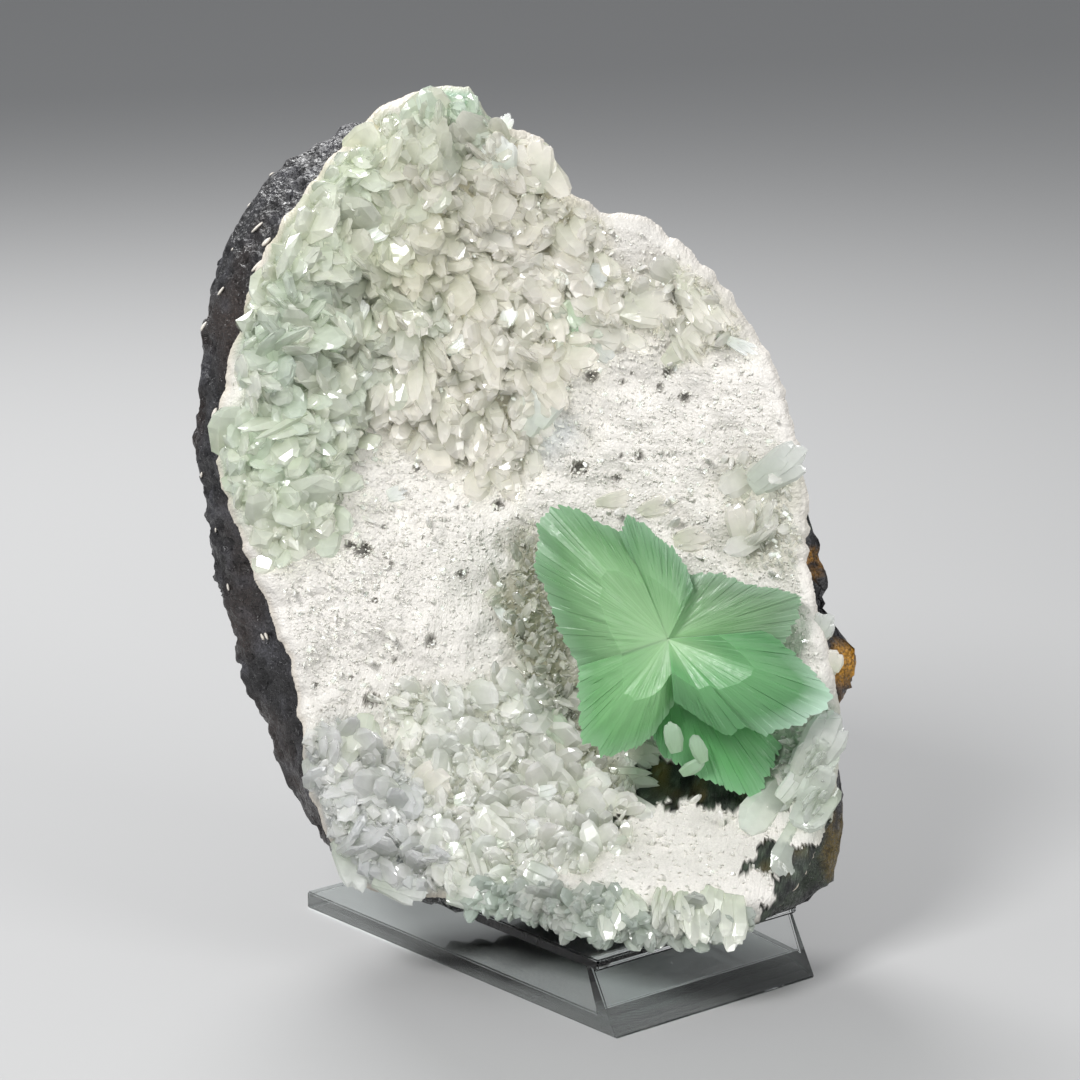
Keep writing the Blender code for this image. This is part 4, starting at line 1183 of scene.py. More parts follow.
# What grows in each bed: form, how many, shortest and longest, width and thickness as shares of
# the length, the way most of them point across and up the face, how widely they spread round
# that, how far they stand up, and how far their flat sides turn away from the viewer
GROWTH = {
    "green_bank": (
        ("plate", 190, 5.0, 10.0, 0.8, 0.26, -0.1, 0.0, 1.0, 0.45, 0.7),
        ("slab", 140, 4.0, 8.0, 0.7, 0.28, -0.1, 0.0, 1.0, 0.5, 0.9),
        ("block", 130, 3.0, 6.0, 0.7, 0.55, 0.0, 0.0, 0.9, 0.8, 1.6),
        ("blade", 200, 3.5, 7.5, 0.55, 0.24, -0.2, 0.1, 1.0, 0.7, 1.2),
        ("sliver", 1100, 1.4, 3.4, 0.6, 0.3, 0.0, 0.0, 1.0, 0.7, 1.6),
    ),
    "pale_bank": (
        ("plate", 90, 5.0, 9.5, 0.66, 0.26, 0.1, -0.5, 0.8, 0.45, 0.7),
        ("slab", 120, 4.5, 9.0, 0.56, 0.26, 0.1, -0.5, 0.8, 0.5, 0.9),
        ("blade", 220, 3.6, 8.0, 0.48, 0.24, 0.1, -0.6, 0.8, 0.55, 0.9),
        ("block", 90, 3.0, 6.0, 0.6, 0.5, 0.1, 0.0, 0.8, 0.8, 1.6),
        ("sliver", 1300, 1.3, 3.2, 0.5, 0.3, 0.1, -0.3, 1.0, 0.7, 1.6),
    ),
    "right_bank": (
        ("slab", 16, 4.0, 7.5, 0.55, 0.2, 0.2, 0.2, 0.8, 0.35, 0.5),
        ("blade", 40, 3.0, 6.5, 0.45, 0.22, 0.2, 0.3, 0.8, 0.5, 0.9),
        ("sliver", 330, 1.2, 2.8, 0.45, 0.3, 0.2, 0.0, 1.0, 0.7, 1.6),
    ),
    "right_rim": (
        ("slab", 16, 4.5, 9.0, 0.5, 0.18, 0.6, 0.8, 0.4, 0.2, 0.4),
        ("sliver", 200, 1.2, 2.8, 0.5, 0.3, 0.4, 0.2, 1.0, 0.6, 1.6),
    ),
    "right_foot": (
        ("slab", 26, 6.0, 12.0, 0.55, 0.16, 0.5, 0.9, 0.4, 0.2, 0.4),
        ("sliver", 200, 1.2, 3.2, 0.5, 0.3, 0.2, 0.0, 1.0, 0.6, 1.6),
    ),
    "grey_foot": (
        ("slab", 50, 4.0, 8.0, 0.7, 0.24, 0.1, -0.2, 1.0, 0.35, 0.6),
        ("block", 90, 2.0, 4.2, 0.7, 0.6, -0.1, -0.1, 0.9, 0.8, 1.6),
        ("sliver", 1100, 1.0, 2.8, 0.6, 0.4, -0.1, -0.1, 1.0, 0.6, 1.6),
    ),
    "foot_bank": (
        ("plate", 80, 4.0, 8.5, 0.72, 0.22, 0.0, -0.1, 1.0, 0.4, 0.6),
        ("slab", 90, 3.6, 7.5, 0.6, 0.22, 0.0, -0.1, 1.0, 0.5, 0.8),
        ("blade", 130, 3.0, 6.6, 0.5, 0.26, 0.0, -0.1, 1.0, 0.7, 1.2),
        ("block", 90, 2.4, 4.8, 0.6, 0.5, 0.0, 0.0, 0.8, 0.8, 1.6),
        ("sliver", 1000, 1.2, 3.0, 0.5, 0.32, 0.0, -0.1, 1.0, 0.7, 1.6),
    ),
    "ledge_lip": (
        ("slab", 110, 3.0, 6.5, 0.62, 0.24, 0.0, -0.5, 0.9, 0.5, 0.9),
        ("block", 120, 2.2, 4.8, 0.7, 0.6, 0.0, -0.4, 0.9, 0.7, 1.6),
        ("blade", 150, 2.8, 6.0, 0.5, 0.26, 0.0, -0.7, 0.8, 0.5, 1.2),
        ("sliver", 620, 1.2, 3.0, 0.5, 0.32, 0.0, -0.6, 1.0, 0.6, 1.6),
    ),
    "rosette_bed": (
        ("blade", 60, 2.4, 5.0, 0.5, 0.26, -0.2, 0.2, 0.9, 0.6, 1.2),
        ("sliver", 360, 1.0, 2.6, 0.5, 0.32, 0.0, 0.0, 1.0, 0.6, 1.6),
    ),
}

# Single crystals that stand out: pixel in the photograph, length and width, the way they point
# in degrees, form and kind. The bright ones are tilted so that they catch the key light, and
# their near-white colour is a painted highlight as well.
KIND_COLOURS = {
    "milky": srgb(216, 211, 200),
    "clear": srgb(222, 224, 222),
    "green": srgb(186, 202, 176),
    "grey": srgb(190, 193, 188),
    # Near-white of the bright crystals and sparkles: a painted highlight
    "bright": srgb(240, 241, 240),
}
SHOWN_CRYSTALS = (
    (333, 331, 8.8, 8.2, 60, "plate", "green"), (283, 345, 7.6, 6.2, 100, "plate", "green"),
    (262, 445, 8.0, 5.5, 80, "plate", "green"), (345, 260, 6.0, 4.5, 30, "slab", "green"),
    (405, 235, 6.5, 5.0, -40, "plate", "milky"), (499, 160, 6.6, 6.0, 100, "slab", "clear"),
    (536, 168, 9.5, 5.6, 95, "slab", "milky"), (505, 127, 4.2, 2.4, 75, "blade", "clear"),
    (382, 382, 10.0, 4.0, -84, "blade", "milky"), (444, 398, 15.0, 4.8, -88, "blade", "milky"),
    (466, 440, 9.0, 4.0, -70, "blade", "milky"), (416, 322, 6.0, 4.5, -60, "plate", "milky"),
    (488, 236, 9.0, 5.6, -20, "plate", "milky"), (509, 292, 6.2, 3.0, 5, "slab", "milky"),
    (600, 309, 8.0, 6.6, 10, "plate", "milky"), (648, 309, 10.0, 7.0, -8, "plate", "milky"),
    (690, 300, 10.0, 3.4, -65, "blade", "milky"), (713, 312, 8.6, 2.4, -60, "blade", "milky"),
    (688, 344, 9.6, 4.2, 40, "slab", "milky"), (736, 345, 8.8, 2.0, -25, "blade", "clear"),
    (591, 275, 6.4, 3.8, -10, "plate", "grey"), (573, 313, 6.0, 3.2, -50, "slab", "green"),
    (540, 406, 9.6, 7.0, 60, "slab", "clear"), (602, 347, 6.2, 4.4, -30, "plate", "grey"),
    (776, 470, 11.5, 6.0, 35, "slab", "grey"), (741, 525, 8.6, 4.8, 100, "slab", "milky"),
    (690, 540, 6.4, 4.2, 10, "plate", "milky"), (615, 500, 7.2, 2.8, 10, "blade", "milky"),
    (656, 507, 6.6, 3.2, 20, "slab", "milky"), (390, 495, 6.5, 2.4, 15, "blade", "clear"),
    (500, 612, 5.4, 1.5, -50, "blade", "clear"), (431, 782, 7.4, 6.6, 40, "plate", "milky"),
    (530, 835, 6.4, 4.8, 70, "slab", "clear"), (541, 872, 6.4, 5.2, -30, "slab", "grey"),
    (470, 890, 9.0, 4.4, -5, "slab", "grey"), (553, 725, 7.0, 4.4, -60, "slab", "green"),
    (554, 752, 6.4, 4.2, -80, "plate", "milky"), (543, 793, 5.0, 2.8, 10, "plate", "clear"),
    (354, 862, 10.0, 5.0, -60, "slab", "grey"), (402, 882, 9.6, 4.4, -15, "slab", "grey"),
    (820, 628, 5.2, 4.4, 60, "plate", "grey"), (831, 662, 4.4, 3.6, 80, "plate", "milky"),
    (818, 742, 14.0, 7.0, 62, "slab", "grey"), (797, 778, 10.0, 4.4, 48, "slab", "clear"),
    (628, 780, 10.0, 3.8, -10, "blade", "milky"), (643, 756, 7.0, 4.2, -22, "slab", "milky"),
    (705, 911, 8.6, 1.6, -89, "block", "clear"),
    (380, 236, 4.0, 3.4, 30, "slab", "bright"), (360, 314, 4.2, 3.0, 80, "slab", "bright"),
    (364, 374, 3.6, 2.8, 60, "slab", "bright"), (336, 428, 3.6, 2.6, 30, "slab", "bright"),
    (457, 345, 4.4, 3.2, 40, "slab", "bright"), (508, 318, 3.8, 2.8, 80, "slab", "bright"),
    (505, 833, 4.2, 3.8, 40, "slab", "bright"), (457, 852, 5.0, 2.8, -75, "slab", "bright"),
    (438, 824, 4.4, 2.4, -85, "slab", "bright"), (466, 798, 3.8, 2.6, 10, "slab", "bright"),
    (590, 772, 3.6, 2.2, -80, "slab", "bright"), (560, 278, 3.6, 2.2, -30, "slab", "bright"),
    (824, 742, 2.6, 2.0, 50, "slab", "bright"),
)
# Blades of one standout crystal: shift across, turn in degrees, length and width shares
SHOWN_PARTS = ((0.0, 0.0, 1.0, 0.72), (0.3, 8.0, 0.84, 0.5), (-0.28, -10.0, 0.72, 0.5), (0.1, 16.0, 0.5, 0.6))
SHOWN_LIFT = 1.5
SHOWN_THICKNESS = 0.26
SHOWN_RISE = 0.22
BRIGHT_NORMAL = np.array((-0.21, 0.28, 0.94))
SPARKLE_COUNT = 420
SPARKLE_SIZES = (0.5, 1.3)
SPARKLE_TURN = 0.16
# Strewn all over the floor: form, how many, shortest and longest, width and thickness shares
SCATTER = (
    ("blade", 60, 2.4, 5.0, 0.42, 0.22),
    ("sliver", 1000, 0.9, 2.2, 0.5, 0.34),
    ("grain", 12000, 0.4, 0.85, 0.7, 0.6),
)
ROOT_SHARE = 0.22

# Blades that make up one of the largest crystals: shift along its thickness and width, then
# length, width and thickness, all as shares of the crystal's own
LARGE_BLADES = (
    (0.0, 0.0, 1.0, 0.62, 0.5),
    (0.28, 0.22, 0.84, 0.5, 0.4),
    (-0.28, -0.22, 0.7, 0.55, 0.4),
    (0.2, -0.3, 0.58, 0.42, 0.36),
    (-0.2, 0.3, 0.66, 0.42, 0.36),
)
SHAPE_JITTER = 0.05
BLADE_PASSES = (0.98, 0.985, 0.97)
BLADE_PASS_SHARE = 0.85
BLADE_TINT_GRAIN = (1.6, 4.0, 0.94, 1.04)
BLADE_GLOSS = (1.2, 3.0, 0.02, 0.12)
GROWTH_LINES = (0.6, 2.0, 0.0, 1.0)
GROWTH_LINE_BUMP = (0.08, 0.25)
CRYSTAL_SPOTS = 0.7
CRYSTAL_LIGHTER = 0.3
ROOT_TINT = (0.8, 0.84, 0.76)


def in_rosette(x, y):
    """Which places lie under the green fans or close beside them."""
    px = ROSETTE_POINT[0] + (x - ROSETTE_POINT[0]) / ROSETTE_ROOM
    py = ROSETTE_POINT[1] + (y - ROSETTE_POINT[1]) / ROSETTE_ROOM
    result = np.zeros(len(px), bool)
    for edge, _, _ in FANS.values():
        result |= inside((ROSETTE_POINT,) + edge, px, py)
    return result


def barrel(stations, ring):
    """Shape template: one ring of points at each station along a crystal, closed at both ends."""
    points = [(x * wide, y * thick, z) for z, wide, thick in stations for x, y in ring]
    count = len(ring)
    faces = []
    for row in range(len(stations) - 1):
        for i in range(count):
            j = (i + 1) % count
            a = row * count
            faces.append((a + i, a + j, a + count + j, a + count + i))
    faces.append(tuple(reversed(range(count))))
    faces.append(tuple((len(stations) - 1) * count + i for i in range(count)))
    return np.array(points), faces


SIX_SIDED = ((-0.5, 0.0), (-0.3, -0.5), (0.3, -0.5), (0.5, 0.0), (0.3, 0.5), (-0.3, 0.5))
FOUR_SIDED = ((-0.5, -0.15), (0.0, -0.5), (0.5, 0.15), (0.0, 0.5))
SQUARE = ((-0.5, -0.5), (0.5, -0.5), (0.5, 0.5), (-0.5, 0.5))
SHAPES = {
    "blade": barrel(((0.0, 0.62, 0.85), (0.38, 1.0, 1.0), (0.72, 0.94, 0.85), (0.91, 0.62, 0.55),
                     (1.0, 0.22, 0.16)), SIX_SIDED),
    "plate": barrel(((0.0, 0.7, 0.9), (0.55, 1.0, 1.0), (0.88, 0.74, 0.8), (1.0, 0.42, 0.3)), SIX_SIDED),
    "slab": barrel(((0.0, 0.8, 0.9), (0.12, 0.96, 1.0), (0.74, 1.0, 1.0), (0.92, 0.7, 0.8),
                    (1.0, 0.4, 0.3)), SIX_SIDED),
    "block": barrel(((0.0, 0.95, 0.95), (0.7, 1.0, 1.0), (0.93, 0.3, 0.3), (0.94, 0.26, 0.26)), SQUARE),
    "sliver": barrel(((0.0, 0.7, 0.9), (0.6, 1.0, 1.0), (1.0, 0.16, 0.2)), FOUR_SIDED),
    "grain": barrel(((0.0, 0.5, 0.5), (0.55, 1.0, 1.0), (1.0, 0.1, 0.1)), SQUARE[:3]),
    "chisel": barrel(((0.0, 0.7, 0.9), (0.3, 0.9, 1.0), (0.62, 1.0, 1.0), (0.86, 0.74, 0.62),
                      (0.98, 0.46, 0.22), (1.0, 0.4, 0.08)), SIX_SIDED),
}


def sides_of(axes, rolls, facing=None):
    """Directions across each crystal's width and thickness, rolled round its axis."""
    if facing is None:
        facing = np.where(np.abs(axes[:, 2:3]) < 0.9, [[0.0, 0.0, 1.0]], [[1.0, 0.0, 0.0]])
    first = unit_rows(np.cross(axes, facing))
    second = np.cross(axes, first)
    wide = first * np.cos(rolls)[:, None] + second * np.sin(rolls)[:, None]
    return wide, np.cross(axes, wide)


def grow(shape, roots, axes, rolls, lengths, widths, thicknesses, colours, draw, facing=None):
    """Many crystals of one shape: their points, faces and colours."""
    template, sides = SHAPES[shape]
    count = len(roots)
    axes = unit_rows(axes)
    wide, flat = sides_of(axes, rolls, facing)
    shaped = template[None, :, :] * (1.0 + draw.uniform(-1.0, 1.0, (count, *template.shape)) * SHAPE_JITTER)
    lean = draw.uniform(-0.25, 0.25, count)
    sideways = shaped[:, :, 0] + lean[:, None] * np.maximum(shaped[:, :, 2] - 0.5, 0.0)
    points = (roots[:, None, :]
              + wide[:, None, :] * (sideways * widths[:, None])[:, :, None]
              + flat[:, None, :] * (shaped[:, :, 1] * thicknesses[:, None])[:, :, None]
              + axes[:, None, :] * (shaped[:, :, 2] * lengths[:, None])[:, :, None])
    size = len(template)
    faces = []
    for side in sides:
        faces += (np.arange(count)[:, None] * size + np.array(side)).tolist()
    up = template[None, :, 2:3]
    colours = colours + (1.0 - colours) * CRYSTAL_LIGHTER
    tint = (colours[:, None, :] * (np.array(ROOT_TINT) * (1.0 - up) + up)).reshape(-1, 3)
    return points.reshape(-1, 3), faces, tint


def slope_at(x, y):
    """Direction straight out of the lining."""
    step = 0.5
    across = (relief(x + step, y) - relief(x - step, y)) / (2.0 * step)
    upward = (relief(x, y + step) - relief(x, y - step)) / (2.0 * step)
    return np.column_stack((-across, -upward, np.ones(len(x))))


def bed_places(outline, count, draw):
    """Random places inside a bed and inside the crust's edge."""
    corners = np.array(outline)
    low = corners.min(axis=0)
    high = corners.max(axis=0)
    found = np.zeros((0, 2))
    while len(found) < count:
        tries = draw.uniform(low, high, (4 * count, 2))
        wander = 1.6 * cell_field(on_plane(*tries.T), 4.0, 53)
        good = inside(outline, tries[:, 0] + wander, tries[:, 1] - wander)
        good &= share_out(tries[:, 0], tries[:, 1]) < 0.985
        found = np.vstack((found, tries[good]))
    return found[:count]


def bare(x, y):
    """Which places are left without crystals."""
    spots = sum(np.hypot(x - x0, y - y0) < radius for x0, y0, radius in BARE_SPOTS)
    return (rock_and_shadow_depth(x, y) > 0.0) | (spots > 0)


def turned_in(x, y, axes, lengths):
    """Directions of crystals, turned back from the crust's edge where they would pass it."""
    reach = (lengths / np.linalg.norm(axes, axis=1))[:, None]
    tips = np.column_stack((x, y)) + axes[:, :2] * reach
    over = share_out(tips[:, 0], tips[:, 1]) > CRYSTAL_TIP_LIMIT
    axes[over, :2] *= CRYSTAL_TURNED_IN
    return axes


def planted(x, y, sink):
    """Roots of crystals on the lumpy floor, sunk a little way in."""
    height = floor_height(x, y, share_out(x, y))
    return np.column_stack((x, y, height - sink))


def bed_crystals():
    """Every crystal of the beds, form by form."""
    draw = np.random.default_rng(17)
    groups = {"blade": [], "plate": [], "slab": [], "block": [], "sliver": []}
    for bed, kinds in GROWTH.items():
        outline, _, first, second = BEDS[bed]
        for shape, count, shortest, longest, wide, thick, lean_x, lean_y, splay, rise, turn in kinds:
            x, y = bed_places(outline, count, draw).T
            lengths = between((shortest, longest), draw.uniform(0.0, 1.0, count) ** 1.6)
            keep = ~(in_rosette(x, y) & (lengths > 3.0)) & ~bare(x, y)
            x, y, lengths = x[keep], y[keep], lengths[keep]
            count = len(x)
            axes = slope_at(x, y) * rise + draw.uniform(-splay, splay, (count, 3)) * (1.0, 1.0, 0.3)
            axes[:, 0] += lean_x
            axes[:, 1] += lean_y
            axes[:, 2] = np.abs(axes[:, 2]) + 0.1
            if bed != "ledge_lip":
                axes = turned_in(x, y, axes, lengths)
            blend = draw.uniform(0.0, 1.0, count)
            colours = between((np.array(first), np.array(second)), blend[:, None])
            colours = spotted(x, y, colours, 61, CRYSTAL_SPOTS) * draw.uniform(0.88, 1.1, count)[:, None]
            groups[shape].append(grow(shape, planted(x, y, lengths * ROOT_SHARE), axes,
                                      draw.uniform(-turn, turn, count), lengths,
                                      lengths * wide * draw.uniform(0.75, 1.25, count),
                                      lengths * thick * draw.uniform(0.75, 1.25, count),
                                      np.clip(colours, 0.0, 1.0), draw))
    return groups


def tip_place(x, y, axis, length):
    """Where a crystal's tip lies over the face."""
    reach = length / math.sqrt(sum(value * value for value in axis))
    return x + axis[0] * reach, y + axis[1] * reach


def bank_crystals():
    """Roots, directions and sizes of the largest crystals, as the solids have them."""
    draw = random.Random(CRYSTAL_SEED)
    for x0, y0, half_width, half_height, count, length, width, thickness, lean_x, lean_y in CRYSTAL_BANKS:
        made = 0
        for _ in range(20 * count):
            if made == count:
                break
            angle = draw.uniform(0.0, math.tau)
            away = math.sqrt(draw.uniform(0.0, 1.0))
            x = x0 + half_width * away * math.cos(angle)
            y = y0 + half_height * away * math.sin(angle)
            size = draw.uniform(*CRYSTAL_SIZES)
            axis = (lean_x + draw.uniform(-CRYSTAL_SPLAY, CRYSTAL_SPLAY),
                    lean_y + draw.uniform(-CRYSTAL_SPLAY, CRYSTAL_SPLAY),
                    draw.uniform(*CRYSTAL_RISE))
            roll = draw.uniform(0.0, math.pi)
            if y > LEDGE_LINE and share_out(*tip_place(x, y, axis, length * size)) > CRYSTAL_TIP_LIMIT:
                axis = (axis[0] * CRYSTAL_TURNED_IN, axis[1] * CRYSTAL_TURNED_IN, axis[2])
            tip = tip_place(x, y, axis, length * size)
            close = in_rosette(np.array((x, tip[0])), np.array((y, tip[1])))
            if share_out(x, y) > CRYSTAL_LIMIT or close.any():
                continue
            made += 1
            yield (x, y, float(relief(x, y))), axis, roll, length * size, width * size, thickness * size


def shown_crystals():
    """The single crystals that stand out, each laid on the bed where the photograph shows it."""
    draw = np.random.default_rng(43)
    parts = []
    for px, py, length, width, degrees, shape, kind in SHOWN_CRYSTALS:
        x, y = on_face(px, py)
        at = np.array([x])
        up = np.array([y])
        facing = slope_at(at, up)[0] * 0.3 + (0.0, 0.0, 1.0) if kind != "bright" else BRIGHT_NORMAL
        height = floor_height(at, up, share_out(at, up))[0]
        crowded = any(inside(outline, at, up)[0] for outline, _, _, _ in BEDS.values())
        lift = (SHOWN_LIFT if crowded else 0.2) + (0.6 if kind == "bright" else 0.0)
        for shift, swing, long, wide in SHOWN_PARTS if shape != "block" else SHOWN_PARTS[:1]:
            turn = math.radians(degrees + swing)
            side = np.array((-math.sin(turn), math.cos(turn), 0.0))
            axis = np.array((math.cos(turn), math.sin(turn), SHOWN_RISE))
            front = facing + side * draw.uniform(-0.16, 0.16)
            front /= np.linalg.norm(front)
            if kind == "bright":
                axis = axis - front * (axis @ front)
            axis /= np.linalg.norm(axis)
            middle = np.array((x, y, height + lift)) + side * shift * width
            middle = middle + axis * length * draw.uniform(-0.08, 0.08)
            parts.append(grow(shape, (middle - axis * length * long * 0.5)[None, :], axis[None, :],
                              np.zeros(1), np.array([length * long]), np.array([width * wide]),
                              np.array([width * SHOWN_THICKNESS]), np.array([KIND_COLOURS[kind]]),
                              draw, front[None, :]))
    return parts


def strewn(count, limit, draw):
    """Random places all over the lining, out to a share of its edge."""
    turn = draw.uniform(0.0, math.tau, count)
    edge, _ = edge_at(crust_edge, turn)
    return round_face(turn, edge * limit * np.sqrt(draw.uniform(0.0, 1.0, count)))


def sparkles():
    """Small faces all over the lining that lie so as to flash in the key light."""
    draw = np.random.default_rng(47)
    x, y = strewn(SPARKLE_COUNT, 0.96, draw)
    keep = ~in_rosette(x, y) & (rock_and_shadow_depth(x, y) == 0.0)
    x, y = x[keep], y[keep]
    count = len(x)
    sizes = between(SPARKLE_SIZES, draw.uniform(0.0, 1.0, count) ** 2)
    fronts = unit_rows(BRIGHT_NORMAL + draw.uniform(-SPARKLE_TURN, SPARKLE_TURN, (count, 3)))
    axes = draw.uniform(-1.0, 1.0, (count, 3))
    axes = unit_rows(axes - fronts * np.sum(axes * fronts, axis=1)[:, None])
    crowded = sum(inside(outline, x, y) for outline, _, _, _ in BEDS.values()) > 0
    lift = np.where(crowded, SHOWN_LIFT, 0.25)
    middles = planted(x, y, -lift) - axes * sizes[:, None] * 0.5
    # Sparkles take the bright crystals' near-white, a painted highlight, besides facing the key light
    return grow("slab", middles, axes, np.zeros(count), sizes, sizes * 0.7, sizes * 0.4,
                painted(KIND_COLOURS["bright"], count), draw, fronts)


def large_crystals():
    """The largest crystals, each a stack of parallel blades grown side by side."""
    draw = np.random.default_rng(23)
    rows = list(bank_crystals())
    axes = unit_rows(np.array([row[1] for row in rows]))
    roots = np.array([row[0] for row in rows]) - axes * CRYSTAL_ROOT
    rolls = []
    for row, axis in zip(rows, axes):
        side = Vector(axis).orthogonal().normalized()
        side.rotate(Matrix.Rotation(row[2], 3, Vector(axis)))
        helper = Vector((0.0, 0.0, 1.0)) if abs(axis[2]) < 0.9 else Vector((1.0, 0.0, 0.0))
        first = Vector(axis).cross(helper).normalized()
        second = Vector(axis).cross(first)
        rolls.append(math.atan2(side.dot(second), side.dot(first)))
    rolls = np.array(rolls)
    sizes = np.array([row[3:] for row in rows])
    x, y, _ = roots.T
    colours = painted(srgb(206, 208, 196), len(rows))
    for outline, _, first, second in BEDS.values():
        here = inside(outline, x, y)
        colours[here] = (np.array(first) + np.array(second)) / 2.0
    colours = spotted(x, y, colours, 61, CRYSTAL_SPOTS)
    across, flat = sides_of(axes, rolls)
    parts = []
    for shift, aside, long, wide, thick in LARGE_BLADES:
        turn = rolls + draw.uniform(-0.35, 0.35, len(rows))
        spread = axes + draw.uniform(-0.2, 0.2, axes.shape)
        shade = colours * draw.uniform(0.92, 1.08, len(rows))[:, None]
        start = roots + flat * (sizes[:, 2] * shift)[:, None] + across * (sizes[:, 1] * aside)[:, None]
        parts.append(grow("chisel", start, spread, turn,
                          sizes[:, 0] * long, sizes[:, 1] * wide, sizes[:, 2] * thick,
                          np.clip(shade, 0.0, 1.0), draw))
    return parts


def scattered():
    """Lone blades and the sugar grains of the druse, over the whole floor."""
    draw = np.random.default_rng(29)
    parts = []
    for shape, count, shortest, longest, wide, thick in SCATTER:
        x, y = strewn(count, 0.985, draw)
        lengths = between((shortest, longest), draw.uniform(0.0, 1.0, count) ** 1.5)
        keep = rock_and_shadow_depth(x, y) == 0.0
        x, y, lengths = x[keep], y[keep], lengths[keep]
        count = len(x)
        axes = slope_at(x, y) + draw.uniform(-1.0, 1.0, (count, 3))
        axes[:, 2] = np.abs(axes[:, 2]) + 0.1
        axes = turned_in(x, y, axes, lengths)
        colours = bedded(x, y, painted(DRUSE_WHITE, count))
        colours = spotted(x, y, colours, 61, CRYSTAL_SPOTS) * draw.uniform(0.93, 1.04, count)[:, None]
        parts.append(grow(shape, planted(x, y, lengths * 0.35), axes, draw.uniform(0.0, math.pi, count),
                          lengths, lengths * wide, lengths * thick, np.clip(colours, 0.0, 1.0), draw))
    return parts


def make_blade_material():
    """Glassy, slightly milky crystal with faint growth lines."""
    material, nodes, links, shader = start_material("pale_crystal", DRUSE_WHITE, 0.1, 1.53)
    add_tint(nodes, links, shader, add_grain(nodes, *BLADE_TINT_GRAIN).outputs["Value"])
    shader.inputs["Transmission Weight"].default_value = 0.4
    shader.inputs["Subsurface Weight"].default_value = 0.15
    shader.inputs["Subsurface Radius"].default_value = (1.0, 1.0, 0.95)
    shader.inputs["Subsurface Scale"].default_value = 1.6 * MM
    let_light_through(nodes, links, shader, BLADE_PASS_SHARE, BLADE_PASSES)
    add_gloss(nodes, links, shader, BLADE_GLOSS)
    lines = add_grain(nodes, *GROWTH_LINES)
    add_bump(nodes, links, shader, lines.outputs["Height"], *GROWTH_LINE_BUMP)
    return material


blade_material = make_blade_material()
bed_groups = bed_crystals()
plate_parts = bed_groups["plate"] + bed_groups["slab"] + shown_crystals() + [sparkles()]
for piece_name, parts, material in (
        ("large_crystals", large_crystals(), blade_material),
        ("crystal_blades", bed_groups["blade"] + bed_groups["block"], blade_material),
        ("crystal_plates", plate_parts, blade_material),
        ("crystal_slivers", bed_groups["sliver"], blade_material),
        ("sugar_grains", scattered(), druse_material)):
    points, faces, tint = joined(parts)
    make_piece(piece_name, points, faces, material, "druse_crust", tint)


# Apophyllite rosette
# The green cluster: fans of thin silky blades that all spread from one point and curve outwards,
# each fan broken into steps at its edge. One translucent piece, rooted in the hollow by a stub.

FAN_CROWN = 0.8
FAN_EDGE_CROWN = 0.6
FAN_CROWN_CURVE = 1.4
FAN_START = 0.004
FAN_COLUMNS = 210
FAN_ROWS = 34
FAN_UNDER_ROWS = 6
FAN_SLATS = 34
SLAT_STEP = 0.03
SLAT_EDGE = 0.035
STRIA_HEIGHT = 0.006
TERRACE_DROP = 0.16
FLAKE_HEIGHT = 0.12
FLAKE_ACROSS = 1.5
FLAKE_ALONG = 5.0
SILK_TURN = 18.0
SILK_ACROSS = 0.3
SILK_ALONG = 2.6
SILK_CURVE = 0.9
FOOT_SIDES = 44
FOOT_RADIUS = 11.0
FOOT_DROP = 3.0
FOOT_RINGS = ((1.0, -14.0), (1.06, -9.0), (1.0, -4.0), (0.92, 0.0), (0.85, 2.0), (0.7, 3.2))
FOOT_TOP = 4.0
ROSETTE_CORE = srgb(158, 198, 148)
ROSETTE_GREEN = {
    "upper_left": (srgb(138, 180, 130), srgb(104, 148, 101)),
    "upper": (srgb(134, 178, 128), srgb(102, 148, 103)),
    "upper_right": (srgb(132, 170, 125), srgb(120, 150, 117)),
    "right": (srgb(108, 164, 109), srgb(90, 142, 94)),
    "lower_left": (srgb(130, 180, 124), srgb(109, 164, 106)),
    "lowest": (srgb(94, 160, 97), srgb(96, 162, 99)),
}
ROSETTE_TIP = srgb(190, 216, 198)
GREEN_PASSES = (0.72, 0.93, 0.76)

GREEN_PASS_SHARE = 0.45
SILK_SHADES = (0.95, 1.03)
SILK_BUMP = (0.08, 0.3)
GREEN_GLOSS = (0.9, 3.0, 0.28, 0.5)
GREEN_GRAIN = (0.45, 3.0, 0.0, 1.0)
GREEN_GRAIN_BUMP = (0.06, 0.4)

# Small blades beside the lowest fan: foot, way it points, length and width
SMALL_GREEN_BLADES = (
    ((23.6, -36.6, 9.0), (-0.2, 1.0, 0.35), 5.6, 3.4),
    ((28.4, -38.4, 7.6), (-0.45, 1.0, 0.3), 5.2, 2.8),
    ((24.5, -40.5, 6.0), (0.9, 0.55, 0.3), 4.6, 2.6),
)


def fan_height(share, across, heights):
    """Height of a fan's face at shares of the way out and of the way across."""
    inner, middle, outer = heights
    height = np.where(share < 0.5, inner + (middle - inner) * share / 0.5,
                      middle + (outer - middle) * (share - 0.5) / 0.5)
    crown = 1.0 - FAN_CROWN_CURVE * (2.0 * across - 1.0) ** 2
    lift = FAN_CROWN + (FAN_EDGE_CROWN - FAN_CROWN) * np.clip((share - 0.7) / 0.3, 0.0, 1.0)
    return height + crown * share * lift


